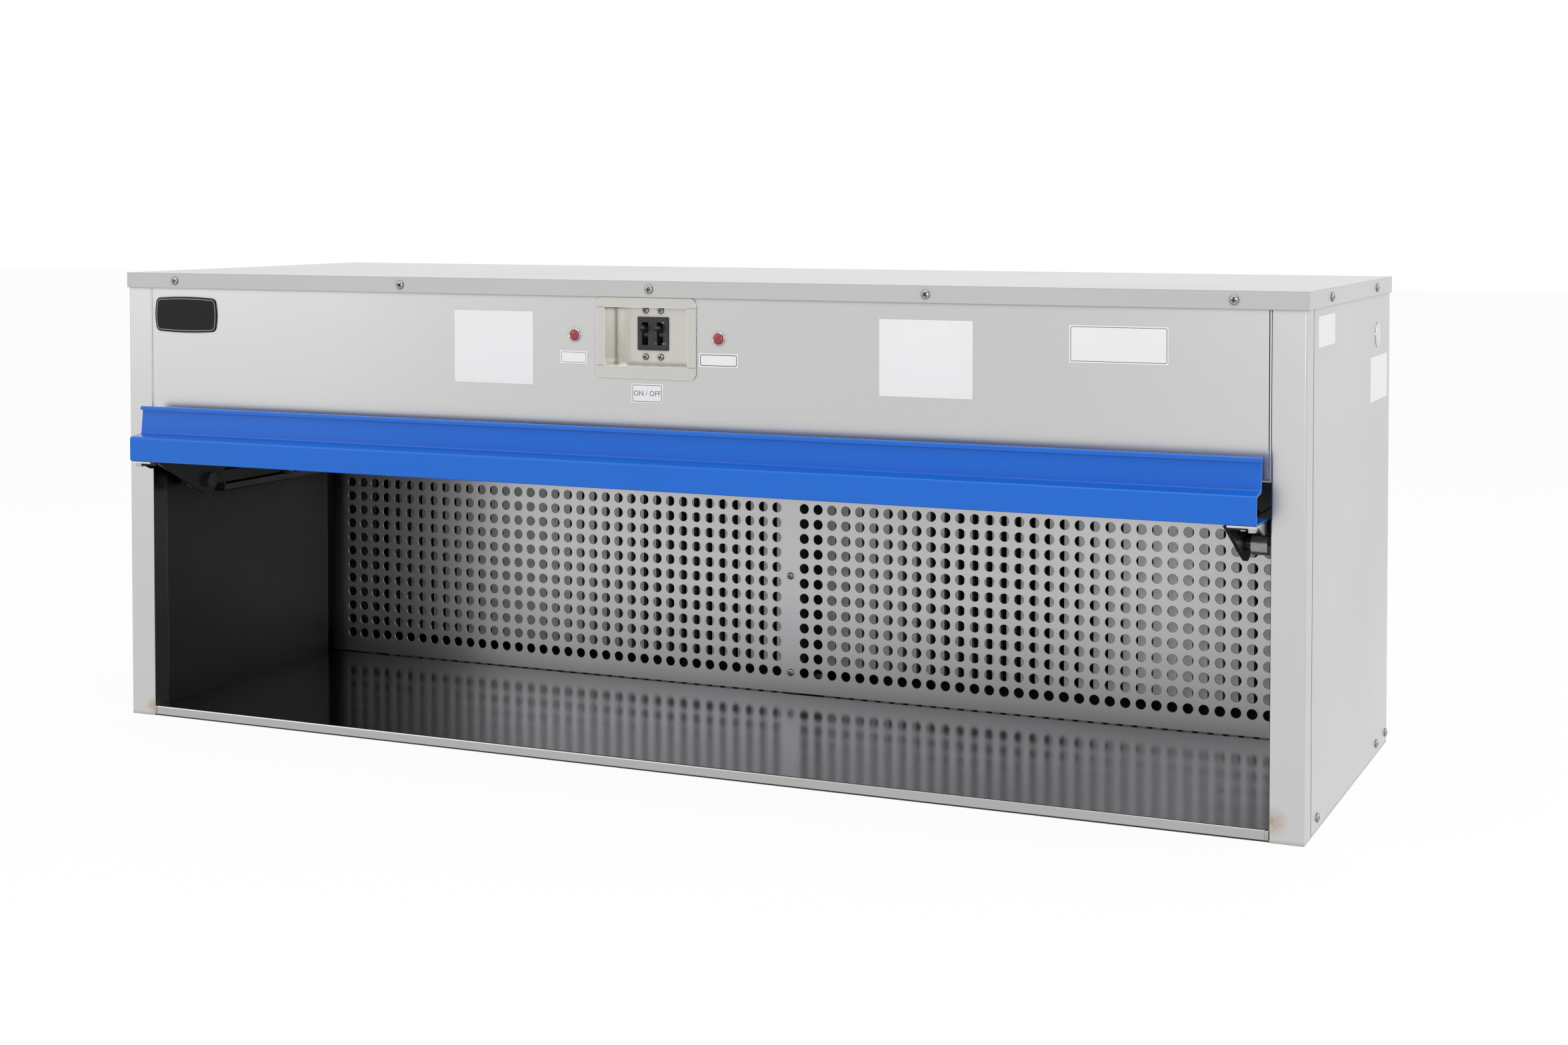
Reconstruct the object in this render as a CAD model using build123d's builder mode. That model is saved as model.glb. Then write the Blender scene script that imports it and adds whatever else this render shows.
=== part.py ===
"""Heated plate warmer: a long stainless cabinet with a blown-air plenum behind a
perforated back, and a door that lies stowed under the control compartment.

+X runs along the cabinet, -Y is the front and +Z is up. The origin is the middle
of the underside. Every length is in millimetres."""

import os

from build123d import *

os.makedirs("parts", exist_ok=True)

# The cabinet as a whole, and the sheet it is folded from
WIDTH = 1457.0
DEPTH = 485.0
HEIGHT = 551.0
SHEET = 1.2
BEND = 2.0
SEAM = 0.3

# Cover, corner posts and outer panels
SKIRT = 18.5
COVER_GAP = 1.0
POST_FACE = 35.3
POST_RETURN = 31.0
POST_INNER_RETURN = 25.0
PANEL_GROOVE = 4.0
PANEL_FRONT_FOLD = 12.0
PANEL_BACK_FOLD = 20.0
LOUVRE_LENGTH = 60.0
LOUVRE_HEIGHT = 5.0
LOUVRE_PITCH = 14.0
LOUVRE_ROWS = 5
LOUVRE_SPREAD = 420.0
LOUVRE_DROP = 66.0

# Heated cavity
COMPARTMENT_HEIGHT = 173.0
CEILING_FOLD = 14.0
CEILING_SLOT_LENGTH = 110.0
CEILING_SLOT_WIDTH = 12.0
CEILING_SLOTS = 9
LINER_SETBACK = 20.0
LINER_FOLD = 14.0
DECK_HEIGHT = 12.2
DECK_LIP_SETBACK = 1.0
DECK_LIP_RETURN = 30.0
STIFFENER_WIDTH = 60.0
STIFFENER_END_GAP = 43.2
STIFFENER_PITCH = 120.0
FASCIA_DROP = 16.0
FASCIA_HEM = 9.0
FASCIA_TOP_FOLD = 15.0
FASCIA_END_GAP = 2.5

# Perforated back: each hole stands for two by two of the punched sheet's own,
# so that the open share of the sheet is the real one
HOLE_PITCH = 38.1
HOLE_SIZE = 25.4
HOLE_SIDES = 6
HOLE_END_MARGIN = 20.0
HOLE_TOP_MARGIN = 8.0
FIRST_HOLE_X = 28.6
LOWEST_HOLE_Z = 49.4
BACK_SHEET_LIFT = 1.3
BACK_SCREW_HEIGHTS = (39.0, 162.5)
SUPPORT_WIDTH = 24.0
SUPPORT_LEG = 18.0

# Grease filters and the channels they slide in
FILTER_DEPTH = 16.0
FILTER_PLAY = 0.4
FILTER_FRAME = 15.0
FILTER_SLOT_PITCH = 18.6
FILTER_SLOT_WIDTH = 8.0
CHANNEL_LEG = 12.0

# Heaters, fans and the air duct over the cavity
HEATER_TUBE = 8.0
HEATER_INNER_X = 90.0
HEATER_END_GAP = 63.2
HEATER_SPAN = 56.0
HEATER_RISE = 20.0
HEATER_BEND = 24.0
HEATER_BRACKET_WIDTH = 18.0
HEATER_BRACKET_MARGIN = 6.0
HEATER_BRACKETS = (200.0, 520.0)
FAN_SHELF_DROP = 78.0
FAN_SIZE = 92.0
FAN_CORNER = 5.0
FAN_THICKNESS = 38.0
FAN_RIM = 3.0
FAN_TIP_GAP = 4.0
FAN_HUB = 36.0
FAN_SPIDER = 6.0
FAN_BLADES = 7
FAN_BLADE_SHEET = 1.8
FAN_BLADE_HEIGHT = 30.0
FAN_BLADE_ANGLE = 42.0
FAN_PLAY = 1.0
FAN_GAP = 1.7
FAN_X = 350.0
FAN_SHAFT = 5.0
RUNNING_FIT = 0.05
DUCT_LENGTH = 86.0
DUCT_FOOT = 14.0
DUCT_HEIGHT = 45.0

# Insulation and the parts on the control plate
INSULATION = 20.0
INSULATION_GAP = 3.0
PLATE_HALF = 300.0
PLATE_FRONT = 75.0
PLATE_GAP = 21.0
PLATE_FOOT = 12.0
PLATE_HEIGHT = 26.0
CONTACTOR_X = 130.0
CONTACTOR_SIZE = (45.0, 58.0, 62.0)
TERMINAL_INSET = 80.0
TERMINAL_SIZE = (96.0, 32.0, 24.0)
TERMINAL_WAYS = 6
TERMINAL_BARRIER = 2.4
THERMOSTAT_X = -150.0
THERMOSTAT_SIZE = (52.0, 46.0, 40.0)
THERMOSTAT_STEM = 10.0
THERMOSTAT_STEM_LENGTH = 12.0
LIMIT_SWITCH = 26.0
LIMIT_SWITCH_HEIGHT = 13.0

# Breaker in its recess, and the two pilot lights
RECESS_X = -5.0
RECESS_WIDTH = 103.4
RECESS_MARGIN = 6.6
RECESS_DEPTH = 28.0
RECESS_RISE = 1.4
FRAME_BORDER = 10.8
FRAME_LIP = 12.2
FRAME_GAP = 0.7
FRAME_CORNER = 7.0
RECESS_PLAY = 0.5
BREAKER_X = -9.5
BREAKER_RISE = 2.2
BREAKER_FACE_WIDTH = 38.0
BREAKER_FACE_HEIGHT = 37.0
BREAKER_PROUD = 2.0
BREAKER_BODY_HEIGHT = 62.0
BREAKER_BODY_DEPTH = 52.0
BREAKER_SCREW_X = 19.05
BREAKER_SCREW_Z = 52.4
BREAKER_SCREW_HEAD = 7.6
POLE_PITCH = 19.0
TOGGLE_WIDTH = 7.0
TOGGLE_SLOT_WIDTH = 8.0
TOGGLE_SLOT_HEIGHT = 26.0
TOGGLE_SLOT_DEPTH = 17.0
TOGGLE_PIVOT_DEPTH = 8.5
TOGGLE_HUB = 12.0
TOGGLE_REACH = 19.0
TOGGLE_THICKNESS = 4.5
TOGGLE_ANGLE = 25.0
TOGGLE_SHAFT = 5.0
PILOT_PITCH = 180.6
PILOT_RISE = 0.2
PILOT_BEZEL = 15.0
PILOT_LENS = 11.8
PILOT_BEZEL_DEPTH = 1.8
PILOT_LENS_DEPTH = 3.2
PILOT_BODY_DEPTH = 26.0

# Door, stowed flat under the ceiling. It reaches down to the deck when it is shut,
# and its pivot is that far behind its front edge
HANDLE_PROUD = 47.0
PIVOT_DROP = 88.0
DOOR_DECK_GAP = 5.8
DOOR_TAIL = 75.0
DOOR_RISE = 32.2
DOOR_END_GAP = 3.7
DOOR_RAIL_GAP = 3.0
DOOR_PANEL_FLANGE = 12.0
DOOR_PANEL_GAP = 1.0
HANDLE_SHEET = 1.6
HANDLE_HEIGHT = 65.8
HANDLE_SLOPE_RISE = 32.3
HANDLE_LEDGE_RISE = 29.8
HANDLE_SETBACK = 21.0
HANDLE_LEAN = 3.5
HANDLE_HOOK = 4.5
HANDLE_HOOK_DROP = 4.5
HANDLE_FOOT = 55.0
HANDLE_BEND = 3.0
HANDLE_HOOK_BEND = 0.6
STRIP_WIDTH = 29.5
STRIP_SHEET = 2.0
STRIP_FLANGE = 13.0
STRIP_REST = 1.0
STRIP_LENGTH = 157.0
STRIP_TAPER_START = 9.0
STRIP_TAPER = 27.0
BRACKET_INSET = 39.2
BRACKET_SHEET = 4.0
BRACKET_FLANGE = 18.0
BRACKET_FLANGE_SHEET = 3.0
BRACKET_FRONT = 9.0
BRACKET_LENGTH = 148.0
BRACKET_NOSE = 36.0
REAR_BRACKET_AHEAD = 35.0
REAR_BRACKET_BEHIND = 60.0
REAR_BRACKET_NOSE = 24.0
FRONT_BOLT_SETBACK = 104.0
ARM_THICKNESS = 5.0
ARM_HEIGHT = 14.6
SLEEVE = 22.0
SLEEVE_LENGTH = 17.0
BOLT = 10.0
BOLT_HEAD = 17.0
BOLT_HEAD_DEPTH = 7.0
BOLT_NUT_DEPTH = 6.0
DOOR_BOLT = 5.0
DOOR_BOLT_HEAD = 9.0
DOOR_BOLT_HEAD_DEPTH = 3.0
DOOR_NUT_DEPTH = 5.0
CORNER_BOLT_INSET = 6.5
CORNER_BOLT_DEPTH = 10.0
FLANGE_BOLT_DEPTH = 40.0

# Rails and the carriage that runs in them
RAIL_GAP = 6.0
RAIL_END_GAP = 17.0
RAIL_DROP = 23.0
RAIL_HEIGHT = 38.0
RAIL_WIDTH = 18.0
RAIL_SHEET = 1.5
RAIL_LIP = 9.0
RAIL_BEND = 2.5
RAIL_STOP = 3.0
GLIDE_LENGTH = 66.0
GLIDE_PLAY = 0.3
GLIDE_CORNER = 1.5
STOP_PLAY = 0.5
CARRIAGE_GAP = 0.8
CARRIAGE_THICKNESS = 5.0
GLIDE_BOLT_RISE = 2.0
GLIDE_BOLT = 6.0
GLIDE_BOLT_COLLAR = 9.0
GLIDE_BOLT_HEAD = 10.0
GLIDE_BOLT_HEAD_DEPTH = 3.5
GLIDE_BOLT_GRIP = 10.0
GLIDE_BOLT_PITCH = 36.0
CROSS_SHAFT = 14.0
CROSS_SHAFT_BORE = 10.0
PIN_HEAD = 15.0
PIN_HEAD_DEPTH = 4.0
PIN_PLAY = 0.5

# Screws and the hole plug
SCREW_HEAD = 10.0
SCREW_HEAD_DEPTH = 2.4
SCREW_SHANK = 4.6
SCREW_PLAY = 0.2
COVER_SCREW_END = 72.5
COVER_SCREW_DROP = 9.5
COVER_SIDE_SCREW_FRONT = 116.0
COVER_SIDE_SCREW_BACK = 100.0
PANEL_SCREW_FRONT = 66.0
PANEL_SCREW_BACK = 72.0
PANEL_SCREW_CORNER = 11.0
PANEL_SCREW_HEIGHT = 13.0
PANEL_SCREW_LENGTH = 6.0
PAN_FLANGE = 24.0
PLUG_FROM_BACK = 83.0
PLUG_DROP = 64.0
PLUG_HEAD = 29.0
PLUG_HEAD_DEPTH = 1.6
PLUG_NECK = 22.0
PLUG_NECK_DEPTH = 7.0

# Worked out from the sizes above: the cabinet
HALF = WIDTH / 2
FRONT = -DEPTH / 2
BACK = DEPTH / 2
BODY_TOP = HEIGHT - SHEET
CAVITY_HALF = HALF - POST_FACE
PLENUM_HALF = CAVITY_HALF + LINER_FOLD
PLENUM_BACK = BACK - 2 * SHEET
PLENUM_FRONT = PLENUM_BACK - FAN_SIZE - 2 * FAN_GAP
BACK_SHEET_Y = PLENUM_FRONT - SHEET
LINER_BACK = BACK_SHEET_Y - LINER_SETBACK
FAN_Y = (PLENUM_FRONT + PLENUM_BACK) / 2
CEILING_HEIGHT = HEIGHT - COMPARTMENT_HEIGHT
CEILING_TOP = CEILING_HEIGHT + SHEET
FASCIA_BOTTOM = CEILING_HEIGHT - FASCIA_DROP
FAN_SHELF_HEIGHT = CEILING_HEIGHT - FAN_SHELF_DROP
FAN_BORE = FAN_SIZE - 2 * FAN_RIM
FAN_TIP = FAN_BORE - 2 * FAN_TIP_GAP
DUCT_FRONT = BACK_SHEET_Y - DUCT_LENGTH
PAN_HALF = HALF - SHEET - SEAM

# The controls, hung from the cover's skirt
FRAME_WIDTH = RECESS_WIDTH + 2 * FRAME_BORDER
RECESS_HEIGHT = BREAKER_SCREW_Z + 2 * RECESS_MARGIN
FRAME_HEIGHT = RECESS_HEIGHT + 2 * FRAME_LIP
FRAME_Z = HEIGHT - SKIRT - FRAME_GAP - FRAME_HEIGHT / 2
RECESS_Z = FRAME_Z + RECESS_RISE
BREAKER_Z = RECESS_Z + BREAKER_RISE
PILOT_Z = RECESS_Z + PILOT_RISE
BREAKER_FACE_Y = FRONT + RECESS_DEPTH - SHEET - BREAKER_PROUD
CONTROL_PLATE_Z = CEILING_TOP + PLATE_HEIGHT + SHEET

# The door and its slides
PIVOT_HEIGHT = CEILING_HEIGHT - PIVOT_DROP
DOOR_REACH = PIVOT_HEIGHT - DECK_HEIGHT - DOOR_DECK_GAP
DOOR_FRONT = FRONT - HANDLE_PROUD
PIVOT_Y = DOOR_FRONT + DOOR_REACH
DOOR_BACK = PIVOT_Y + DOOR_TAIL
DOOR_HALF = CAVITY_HALF - DOOR_END_GAP
DOOR_FOOT_Z = PIVOT_HEIGHT + DOOR_RISE
STRIP_UNDER = DOOR_FOOT_Z - STRIP_SHEET
STRIP_BACK = DOOR_FRONT + STRIP_REST + STRIP_LENGTH
BOLT_Y = DOOR_FRONT + FRONT_BOLT_SETBACK
BRACKET_X = CAVITY_HALF - BRACKET_INSET
ARM_X = BRACKET_X + BRACKET_SHEET
SLEEVE_X = ARM_X + ARM_THICKNESS
CARRIAGE_X = SLEEVE_X + CARRIAGE_GAP
RAIL_X = CAVITY_HALF - RAIL_WIDTH
RAIL_Y = STRIP_BACK + RAIL_GAP
RAIL_LENGTH = BACK_SHEET_Y - RAIL_END_GAP - RAIL_Y
RAIL_BOTTOM = PIVOT_HEIGHT - RAIL_DROP
GLIDE_X = RAIL_X + RAIL_SHEET + GLIDE_PLAY
GLIDE_Y = RAIL_Y + RAIL_LENGTH - RAIL_STOP - STOP_PLAY - GLIDE_LENGTH / 2
GLIDE_BOLT_HEIGHT = RAIL_BOTTOM + RAIL_HEIGHT / 2 + GLIDE_BOLT_RISE

SEATED = (Align.CENTER, Align.CENTER, Align.MIN)
HANGING = (Align.CENTER, Align.CENTER, Align.MAX)


def front_plane(y):
    """Sketch plane that faces the front, with X to the right and Z up."""
    return Plane.XZ.offset(-y)


def back_plane(y):
    """Sketch plane that faces the back, with X to the left and Z up."""
    return Plane((0, y, 0), x_dir=(-1, 0, 0), z_dir=(0, 1, 0))


def right_plane(x):
    """Sketch plane that faces the right end, with Y first and Z up."""
    return Plane.YZ.offset(x)


def left_plane(x):
    """Sketch plane that faces the left end, with Y backwards and Z up."""
    return Plane((x, 0, 0), x_dir=(0, -1, 0), z_dir=(-1, 0, 0))


def spots(plane, points):
    """Places at these points of a plane."""
    return [plane.location * Pos(*point) for point in points]


def folded(plane, points, sheet=SHEET, side=Side.LEFT, bend=BEND):
    """Cut section of a sheet that is folded along the points."""
    with BuildSketch(plane) as section:
        with BuildLine():
            path = FilletPolyline(*points, radius=bend)
            offset(path, amount=sheet, side=side)
        make_face()
    return section.sketch


def write(part, name):
    """Label one finished piece and write it as its own file."""
    part.label = name
    export_step(part, f"parts/{name}.step")


def write_pair(part, name):
    """Write a piece of the right end, and its mirror image at the left end."""
    write(part, f"right_{name}")
    write(mirror(part, about=Plane.YZ), f"left_{name}")


def both_ends(part):
    """One node of a fastener group and its mirror image."""
    return Compound(children=[*part.solids(), *mirror(part, about=Plane.YZ).solids()])


# Places of the cover's screws, on the outside of its skirt
cover_screw_z = HEIGHT - COVER_SCREW_DROP
skirt_half = HALF + COVER_GAP + SHEET
skirt_front = FRONT - COVER_GAP - SHEET
skirt_back = BACK + COVER_GAP + SHEET
cover_screw_pitch = (HALF - COVER_SCREW_END) / 2
side_screw_ys = (FRONT + COVER_SIDE_SCREW_FRONT, BACK - COVER_SIDE_SCREW_BACK)
cover_screw_spots = [
    *spots(front_plane(skirt_front), [(n * cover_screw_pitch, cover_screw_z) for n in range(-2, 3)]),
    *spots(back_plane(skirt_back), [(n * cover_screw_pitch, cover_screw_z) for n in (-1.5, 0, 1.5)]),
    *spots(right_plane(skirt_half), [(y, cover_screw_z) for y in side_screw_ys]),
    *spots(left_plane(-skirt_half), [(-y, cover_screw_z) for y in side_screw_ys]),
]

# Cover: a shallow pan turned over the body
with BuildPart() as top_cover:
    with BuildSketch(Plane.XY.offset(HEIGHT - SKIRT)):
        RectangleRounded(2 * skirt_half, skirt_back - skirt_front, BEND)
    extrude(amount=SKIRT)
    offset(amount=-SHEET, openings=top_cover.faces().sort_by(Axis.Z)[0])
    with Locations(cover_screw_spots):
        Cylinder(SCREW_SHANK / 2 + SCREW_PLAY, 3 * SHEET, mode=Mode.SUBTRACT)
write(top_cover.part, "top_cover")

# Cover screws: pan heads on the skirt, with shanks that reach the body
with BuildPart() as cover_screws:
    with Locations(cover_screw_spots):
        Cylinder(SCREW_HEAD / 2, SCREW_HEAD_DEPTH, align=SEATED)
        Cylinder(SCREW_SHANK / 2, SHEET + COVER_GAP, align=HANGING)
write(cover_screws.part, "cover_screws")

# Corner post: a channel with its face forward and two returns
with BuildPart() as post:
    extrude(
        folded(
            Plane.XY,
            [
                (CAVITY_HALF, FRONT + POST_INNER_RETURN),
                (CAVITY_HALF, FRONT),
                (HALF, FRONT),
                (HALF, FRONT + POST_RETURN),
            ],
        ),
        amount=BODY_TOP,
    )
write(both_ends(post.part), "corner_posts")

# Outer side panel: folded in behind the post, and again round the back
panel_screw_ys = (FRONT + PANEL_SCREW_FRONT, BACK - PANEL_SCREW_BACK, BACK - PANEL_SCREW_CORNER)
panel_screw_spots = spots(right_plane(HALF), [(y, PANEL_SCREW_HEIGHT) for y in panel_screw_ys])
left_panel_screw_spots = spots(left_plane(-HALF), [(-y, PANEL_SCREW_HEIGHT) for y in panel_screw_ys])
with BuildPart() as side_panel:
    extrude(
        folded(
            Plane.XY,
            [
                (HALF - PANEL_FRONT_FOLD, FRONT + POST_RETURN + PANEL_GROOVE),
                (HALF, FRONT + POST_RETURN + PANEL_GROOVE),
                (HALF, BACK),
                (HALF - PANEL_BACK_FOLD, BACK),
            ],
        ),
        amount=BODY_TOP,
    )
    with Locations(panel_screw_spots):
        Cylinder(SCREW_SHANK / 2 + SCREW_PLAY, 3 * SHEET, mode=Mode.SUBTRACT)
write(mirror(side_panel.part, about=Plane.YZ), "left_side_panel")

# The right panel also has the cable entry, closed by a plug
plug_spot = spots(right_plane(HALF), [(BACK - PLUG_FROM_BACK, HEIGHT - PLUG_DROP)])
with BuildPart() as right_side_panel:
    add(side_panel.part)
    with Locations(plug_spot):
        Cylinder(PLUG_NECK / 2 + SCREW_PLAY, 3 * SHEET, mode=Mode.SUBTRACT)
write(right_side_panel.part, "right_side_panel")

with BuildPart() as cable_entry_plug:
    with Locations(plug_spot):
        Cylinder(PLUG_HEAD / 2, PLUG_HEAD_DEPTH, align=SEATED)
        Cylinder(PLUG_NECK / 2, PLUG_NECK_DEPTH, align=HANGING)
write(cable_entry_plug.part, "cable_entry_plug")

with BuildPart() as panel_screws:
    with Locations(panel_screw_spots):
        Cylinder(SCREW_HEAD / 2, SCREW_HEAD_DEPTH, align=SEATED)
        Cylinder(SCREW_SHANK / 2, PANEL_SCREW_LENGTH, align=HANGING)
write(both_ends(panel_screws.part), "side_panel_screws")

# Outer back: a sheet inside the side panels' folds, louvred at the controls
with BuildPart() as back_panel:
    with BuildSketch(back_plane(PLENUM_BACK)):
        with Locations((0, BODY_TOP / 2)):
            Rectangle(2 * (HALF - BEND - SEAM), BODY_TOP)
        with Locations(*[(x, HEIGHT - LOUVRE_DROP) for x in (-LOUVRE_SPREAD, LOUVRE_SPREAD)]):
            with GridLocations(1.5 * LOUVRE_LENGTH, LOUVRE_PITCH, 2, LOUVRE_ROWS):
                Rectangle(LOUVRE_LENGTH, LOUVRE_HEIGHT, mode=Mode.SUBTRACT)
    extrude(amount=SHEET)
write(back_panel.part, "back_panel")

# Bottom pan: narrow between the posts, full width behind them and turned up there
with BuildPart() as bottom_pan:
    pan_step = FRONT + POST_RETURN + PANEL_GROOVE + SHEET + BEND
    pan_back = PLENUM_BACK - SEAM
    with BuildSketch(Plane.XY):
        with BuildLine():
            Polyline(
                (-CAVITY_HALF + SEAM, FRONT + 2 * DECK_LIP_SETBACK),
                (CAVITY_HALF - SEAM, FRONT + 2 * DECK_LIP_SETBACK),
                (CAVITY_HALF - SEAM, pan_step),
                (PAN_HALF, pan_step),
                (PAN_HALF, pan_back),
                (-PAN_HALF, pan_back),
                (-PAN_HALF, pan_step),
                (-CAVITY_HALF + SEAM, pan_step),
                close=True,
            )
        make_face()
    extrude(amount=SHEET)
    with BuildSketch(Plane.XY.offset(SHEET)):
        for x in (SHEET / 2 - PAN_HALF, PAN_HALF - SHEET / 2):
            with Locations((x, (pan_step + pan_back) / 2)):
                Rectangle(SHEET, pan_back - pan_step)
    extrude(amount=PAN_FLANGE)
    with Locations(panel_screw_spots):
        Cylinder(SCREW_SHANK / 2 + SCREW_PLAY, 2 * PANEL_SCREW_LENGTH, mode=Mode.SUBTRACT)
    with Locations(left_panel_screw_spots):
        Cylinder(SCREW_SHANK / 2 + SCREW_PLAY, 2 * PANEL_SCREW_LENGTH, mode=Mode.SUBTRACT)
write(bottom_pan.part, "bottom_pan")

# Deck: the warm shelf, turned down in front into the lip and down at the back
with BuildPart() as deck:
    deck_back = PLENUM_BACK - SEAM
    extrude(
        folded(
            right_plane(0),
            [
                (deck_back, SHEET),
                (deck_back, DECK_HEIGHT),
                (FRONT + DECK_LIP_SETBACK, DECK_HEIGHT),
                (FRONT + DECK_LIP_SETBACK, SHEET),
                (FRONT + DECK_LIP_RETURN, SHEET),
            ],
        ),
        amount=CAVITY_HALF - SEAM,
        both=True,
    )
write(deck.part, "deck")

# Deck stiffeners: hat channels between the bottom pan and the deck
with BuildPart() as deck_stiffeners:
    stiffener_length = 2 * (CAVITY_HALF - STIFFENER_END_GAP)
    with Locations(*[(0, n * STIFFENER_PITCH, SHEET) for n in (-1, 0, 1)]):
        Box(stiffener_length, STIFFENER_WIDTH, DECK_HEIGHT - 2 * SHEET, align=SEATED)
        Box(
            stiffener_length,
            STIFFENER_WIDTH - 2 * SHEET,
            DECK_HEIGHT - 3 * SHEET,
            align=SEATED,
            mode=Mode.SUBTRACT,
        )
write(deck_stiffeners.part, "deck_stiffeners")

# Cavity liner: the inner side wall, folded outwards at its back edge
with BuildPart() as liner:
    extrude(
        folded(
            Plane.XY.offset(SHEET),
            [
                (CAVITY_HALF, FRONT + POST_INNER_RETURN + SEAM),
                (CAVITY_HALF, LINER_BACK),
                (PLENUM_HALF + LINER_FOLD, LINER_BACK),
            ],
            side=Side.RIGHT,
        ),
        amount=CEILING_HEIGHT + CEILING_FOLD - SHEET,
    )
write(both_ends(liner.part), "cavity_liners")

# Plenum wall: closes the air space between the liner and the back
with BuildPart() as plenum_wall:
    extrude(
        folded(
            Plane.XY.offset(SHEET),
            [
                (PLENUM_HALF + LINER_FOLD, LINER_BACK),
                (PLENUM_HALF, LINER_BACK),
                (PLENUM_HALF, PLENUM_BACK),
            ],
            side=Side.RIGHT,
        ),
        amount=CEILING_HEIGHT - SHEET,
    )
write(both_ends(plenum_wall.part), "plenum_walls")

# Ceiling of the cavity, with slots near the back that let the warm air down
with BuildPart() as ceiling:
    extrude(
        folded(
            right_plane(0),
            [
                (FRONT + SHEET, CEILING_HEIGHT + CEILING_FOLD),
                (FRONT + SHEET, CEILING_HEIGHT),
                (BACK_SHEET_Y, CEILING_HEIGHT),
            ],
        ),
        amount=CAVITY_HALF - SEAM,
        both=True,
    )
    slot_y = (DUCT_FRONT + BACK_SHEET_Y) / 2
    with BuildSketch(Plane.XY.offset(CEILING_HEIGHT)):
        with Locations((0, slot_y)):
            with GridLocations(1.25 * CEILING_SLOT_LENGTH, 2 * CEILING_SLOT_WIDTH, CEILING_SLOTS, 2):
                Rectangle(CEILING_SLOT_LENGTH, CEILING_SLOT_WIDTH)
    extrude(amount=SHEET, mode=Mode.SUBTRACT)
write(ceiling.part, "cavity_ceiling")

# Duct: carries the fans' air forward from the plenum over the ceiling slots
with BuildPart() as air_duct:
    duct_top = CEILING_TOP + DUCT_HEIGHT
    extrude(
        folded(
            right_plane(0),
            [
                (DUCT_FRONT - DUCT_FOOT, CEILING_TOP),
                (DUCT_FRONT, CEILING_TOP),
                (DUCT_FRONT, duct_top),
                (PLENUM_BACK, duct_top),
            ],
        ),
        amount=CAVITY_HALF - SEAM,
        both=True,
    )
    with BuildSketch(right_plane(CAVITY_HALF - SEAM)):
        with Locations(((DUCT_FRONT + PLENUM_BACK) / 2, CEILING_TOP + DUCT_HEIGHT / 2)):
            Rectangle(PLENUM_BACK - DUCT_FRONT, DUCT_HEIGHT)
    extrude(amount=-SHEET)
    mirror(about=Plane.YZ)
write(air_duct.part, "air_duct")

# Fascia: the control panel between the posts, hemmed at its lower edge
pilot_points = [(RECESS_X - PILOT_PITCH / 2, PILOT_Z), (RECESS_X + PILOT_PITCH / 2, PILOT_Z)]
with BuildPart() as fascia:
    extrude(
        folded(
            right_plane(0),
            [
                (FRONT + FASCIA_HEM, FASCIA_BOTTOM),
                (FRONT, FASCIA_BOTTOM),
                (FRONT, BODY_TOP),
                (FRONT + FASCIA_TOP_FOLD, BODY_TOP),
            ],
            side=Side.RIGHT,
        ),
        amount=CAVITY_HALF - FASCIA_END_GAP,
        both=True,
    )
    with BuildSketch(front_plane(FRONT)):
        with Locations((RECESS_X, RECESS_Z)):
            play = 2 * SHEET + 2 * RECESS_PLAY
            Rectangle(RECESS_WIDTH + play, RECESS_HEIGHT + play)
        with Locations(*pilot_points):
            Circle(PILOT_LENS / 2 + SCREW_PLAY)
    extrude(amount=-SHEET, mode=Mode.SUBTRACT)
write(fascia.part, "fascia")

# Perforated back of the cavity, blank down the middle where its screws are
with BuildPart() as perforated_back:
    sheet_top = CEILING_HEIGHT - SEAM
    sheet_bottom = DECK_HEIGHT + BACK_SHEET_LIFT
    last_hole_x = CAVITY_HALF - HOLE_END_MARGIN - HOLE_SIZE / 2
    highest_hole_z = FAN_SHELF_HEIGHT - HOLE_TOP_MARGIN - HOLE_SIZE / 2
    hole_columns = int((last_hole_x - FIRST_HOLE_X) / HOLE_PITCH) + 1
    hole_rows = int((highest_hole_z - LOWEST_HOLE_Z) / HOLE_PITCH) + 1
    hole_middle_x = FIRST_HOLE_X + (hole_columns - 1) * HOLE_PITCH / 2
    hole_middle_z = LOWEST_HOLE_Z + (hole_rows - 1) * HOLE_PITCH / 2
    with BuildSketch(front_plane(BACK_SHEET_Y)):
        with Locations((0, (sheet_top + sheet_bottom) / 2)):
            Rectangle(2 * (CAVITY_HALF - SEAM), sheet_top - sheet_bottom)
        with Locations((-hole_middle_x, hole_middle_z), (hole_middle_x, hole_middle_z)):
            with GridLocations(HOLE_PITCH, HOLE_PITCH, hole_columns, hole_rows):
                RegularPolygon(HOLE_SIZE / 2, HOLE_SIDES, mode=Mode.SUBTRACT)
        with Locations(*[(0, z) for z in BACK_SCREW_HEIGHTS]):
            Circle(SCREW_SHANK / 2 + SCREW_PLAY, mode=Mode.SUBTRACT)
    extrude(amount=-SHEET)
write(perforated_back.part, "perforated_back")

with BuildPart() as back_sheet_screws:
    with Locations(spots(front_plane(BACK_SHEET_Y), [(0, z) for z in BACK_SCREW_HEIGHTS])):
        Cylinder(SCREW_HEAD / 2, SCREW_HEAD_DEPTH, align=SEATED)
        Cylinder(SCREW_SHANK / 2, SHEET, align=HANGING)
write(back_sheet_screws.part, "back_sheet_screws")

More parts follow.
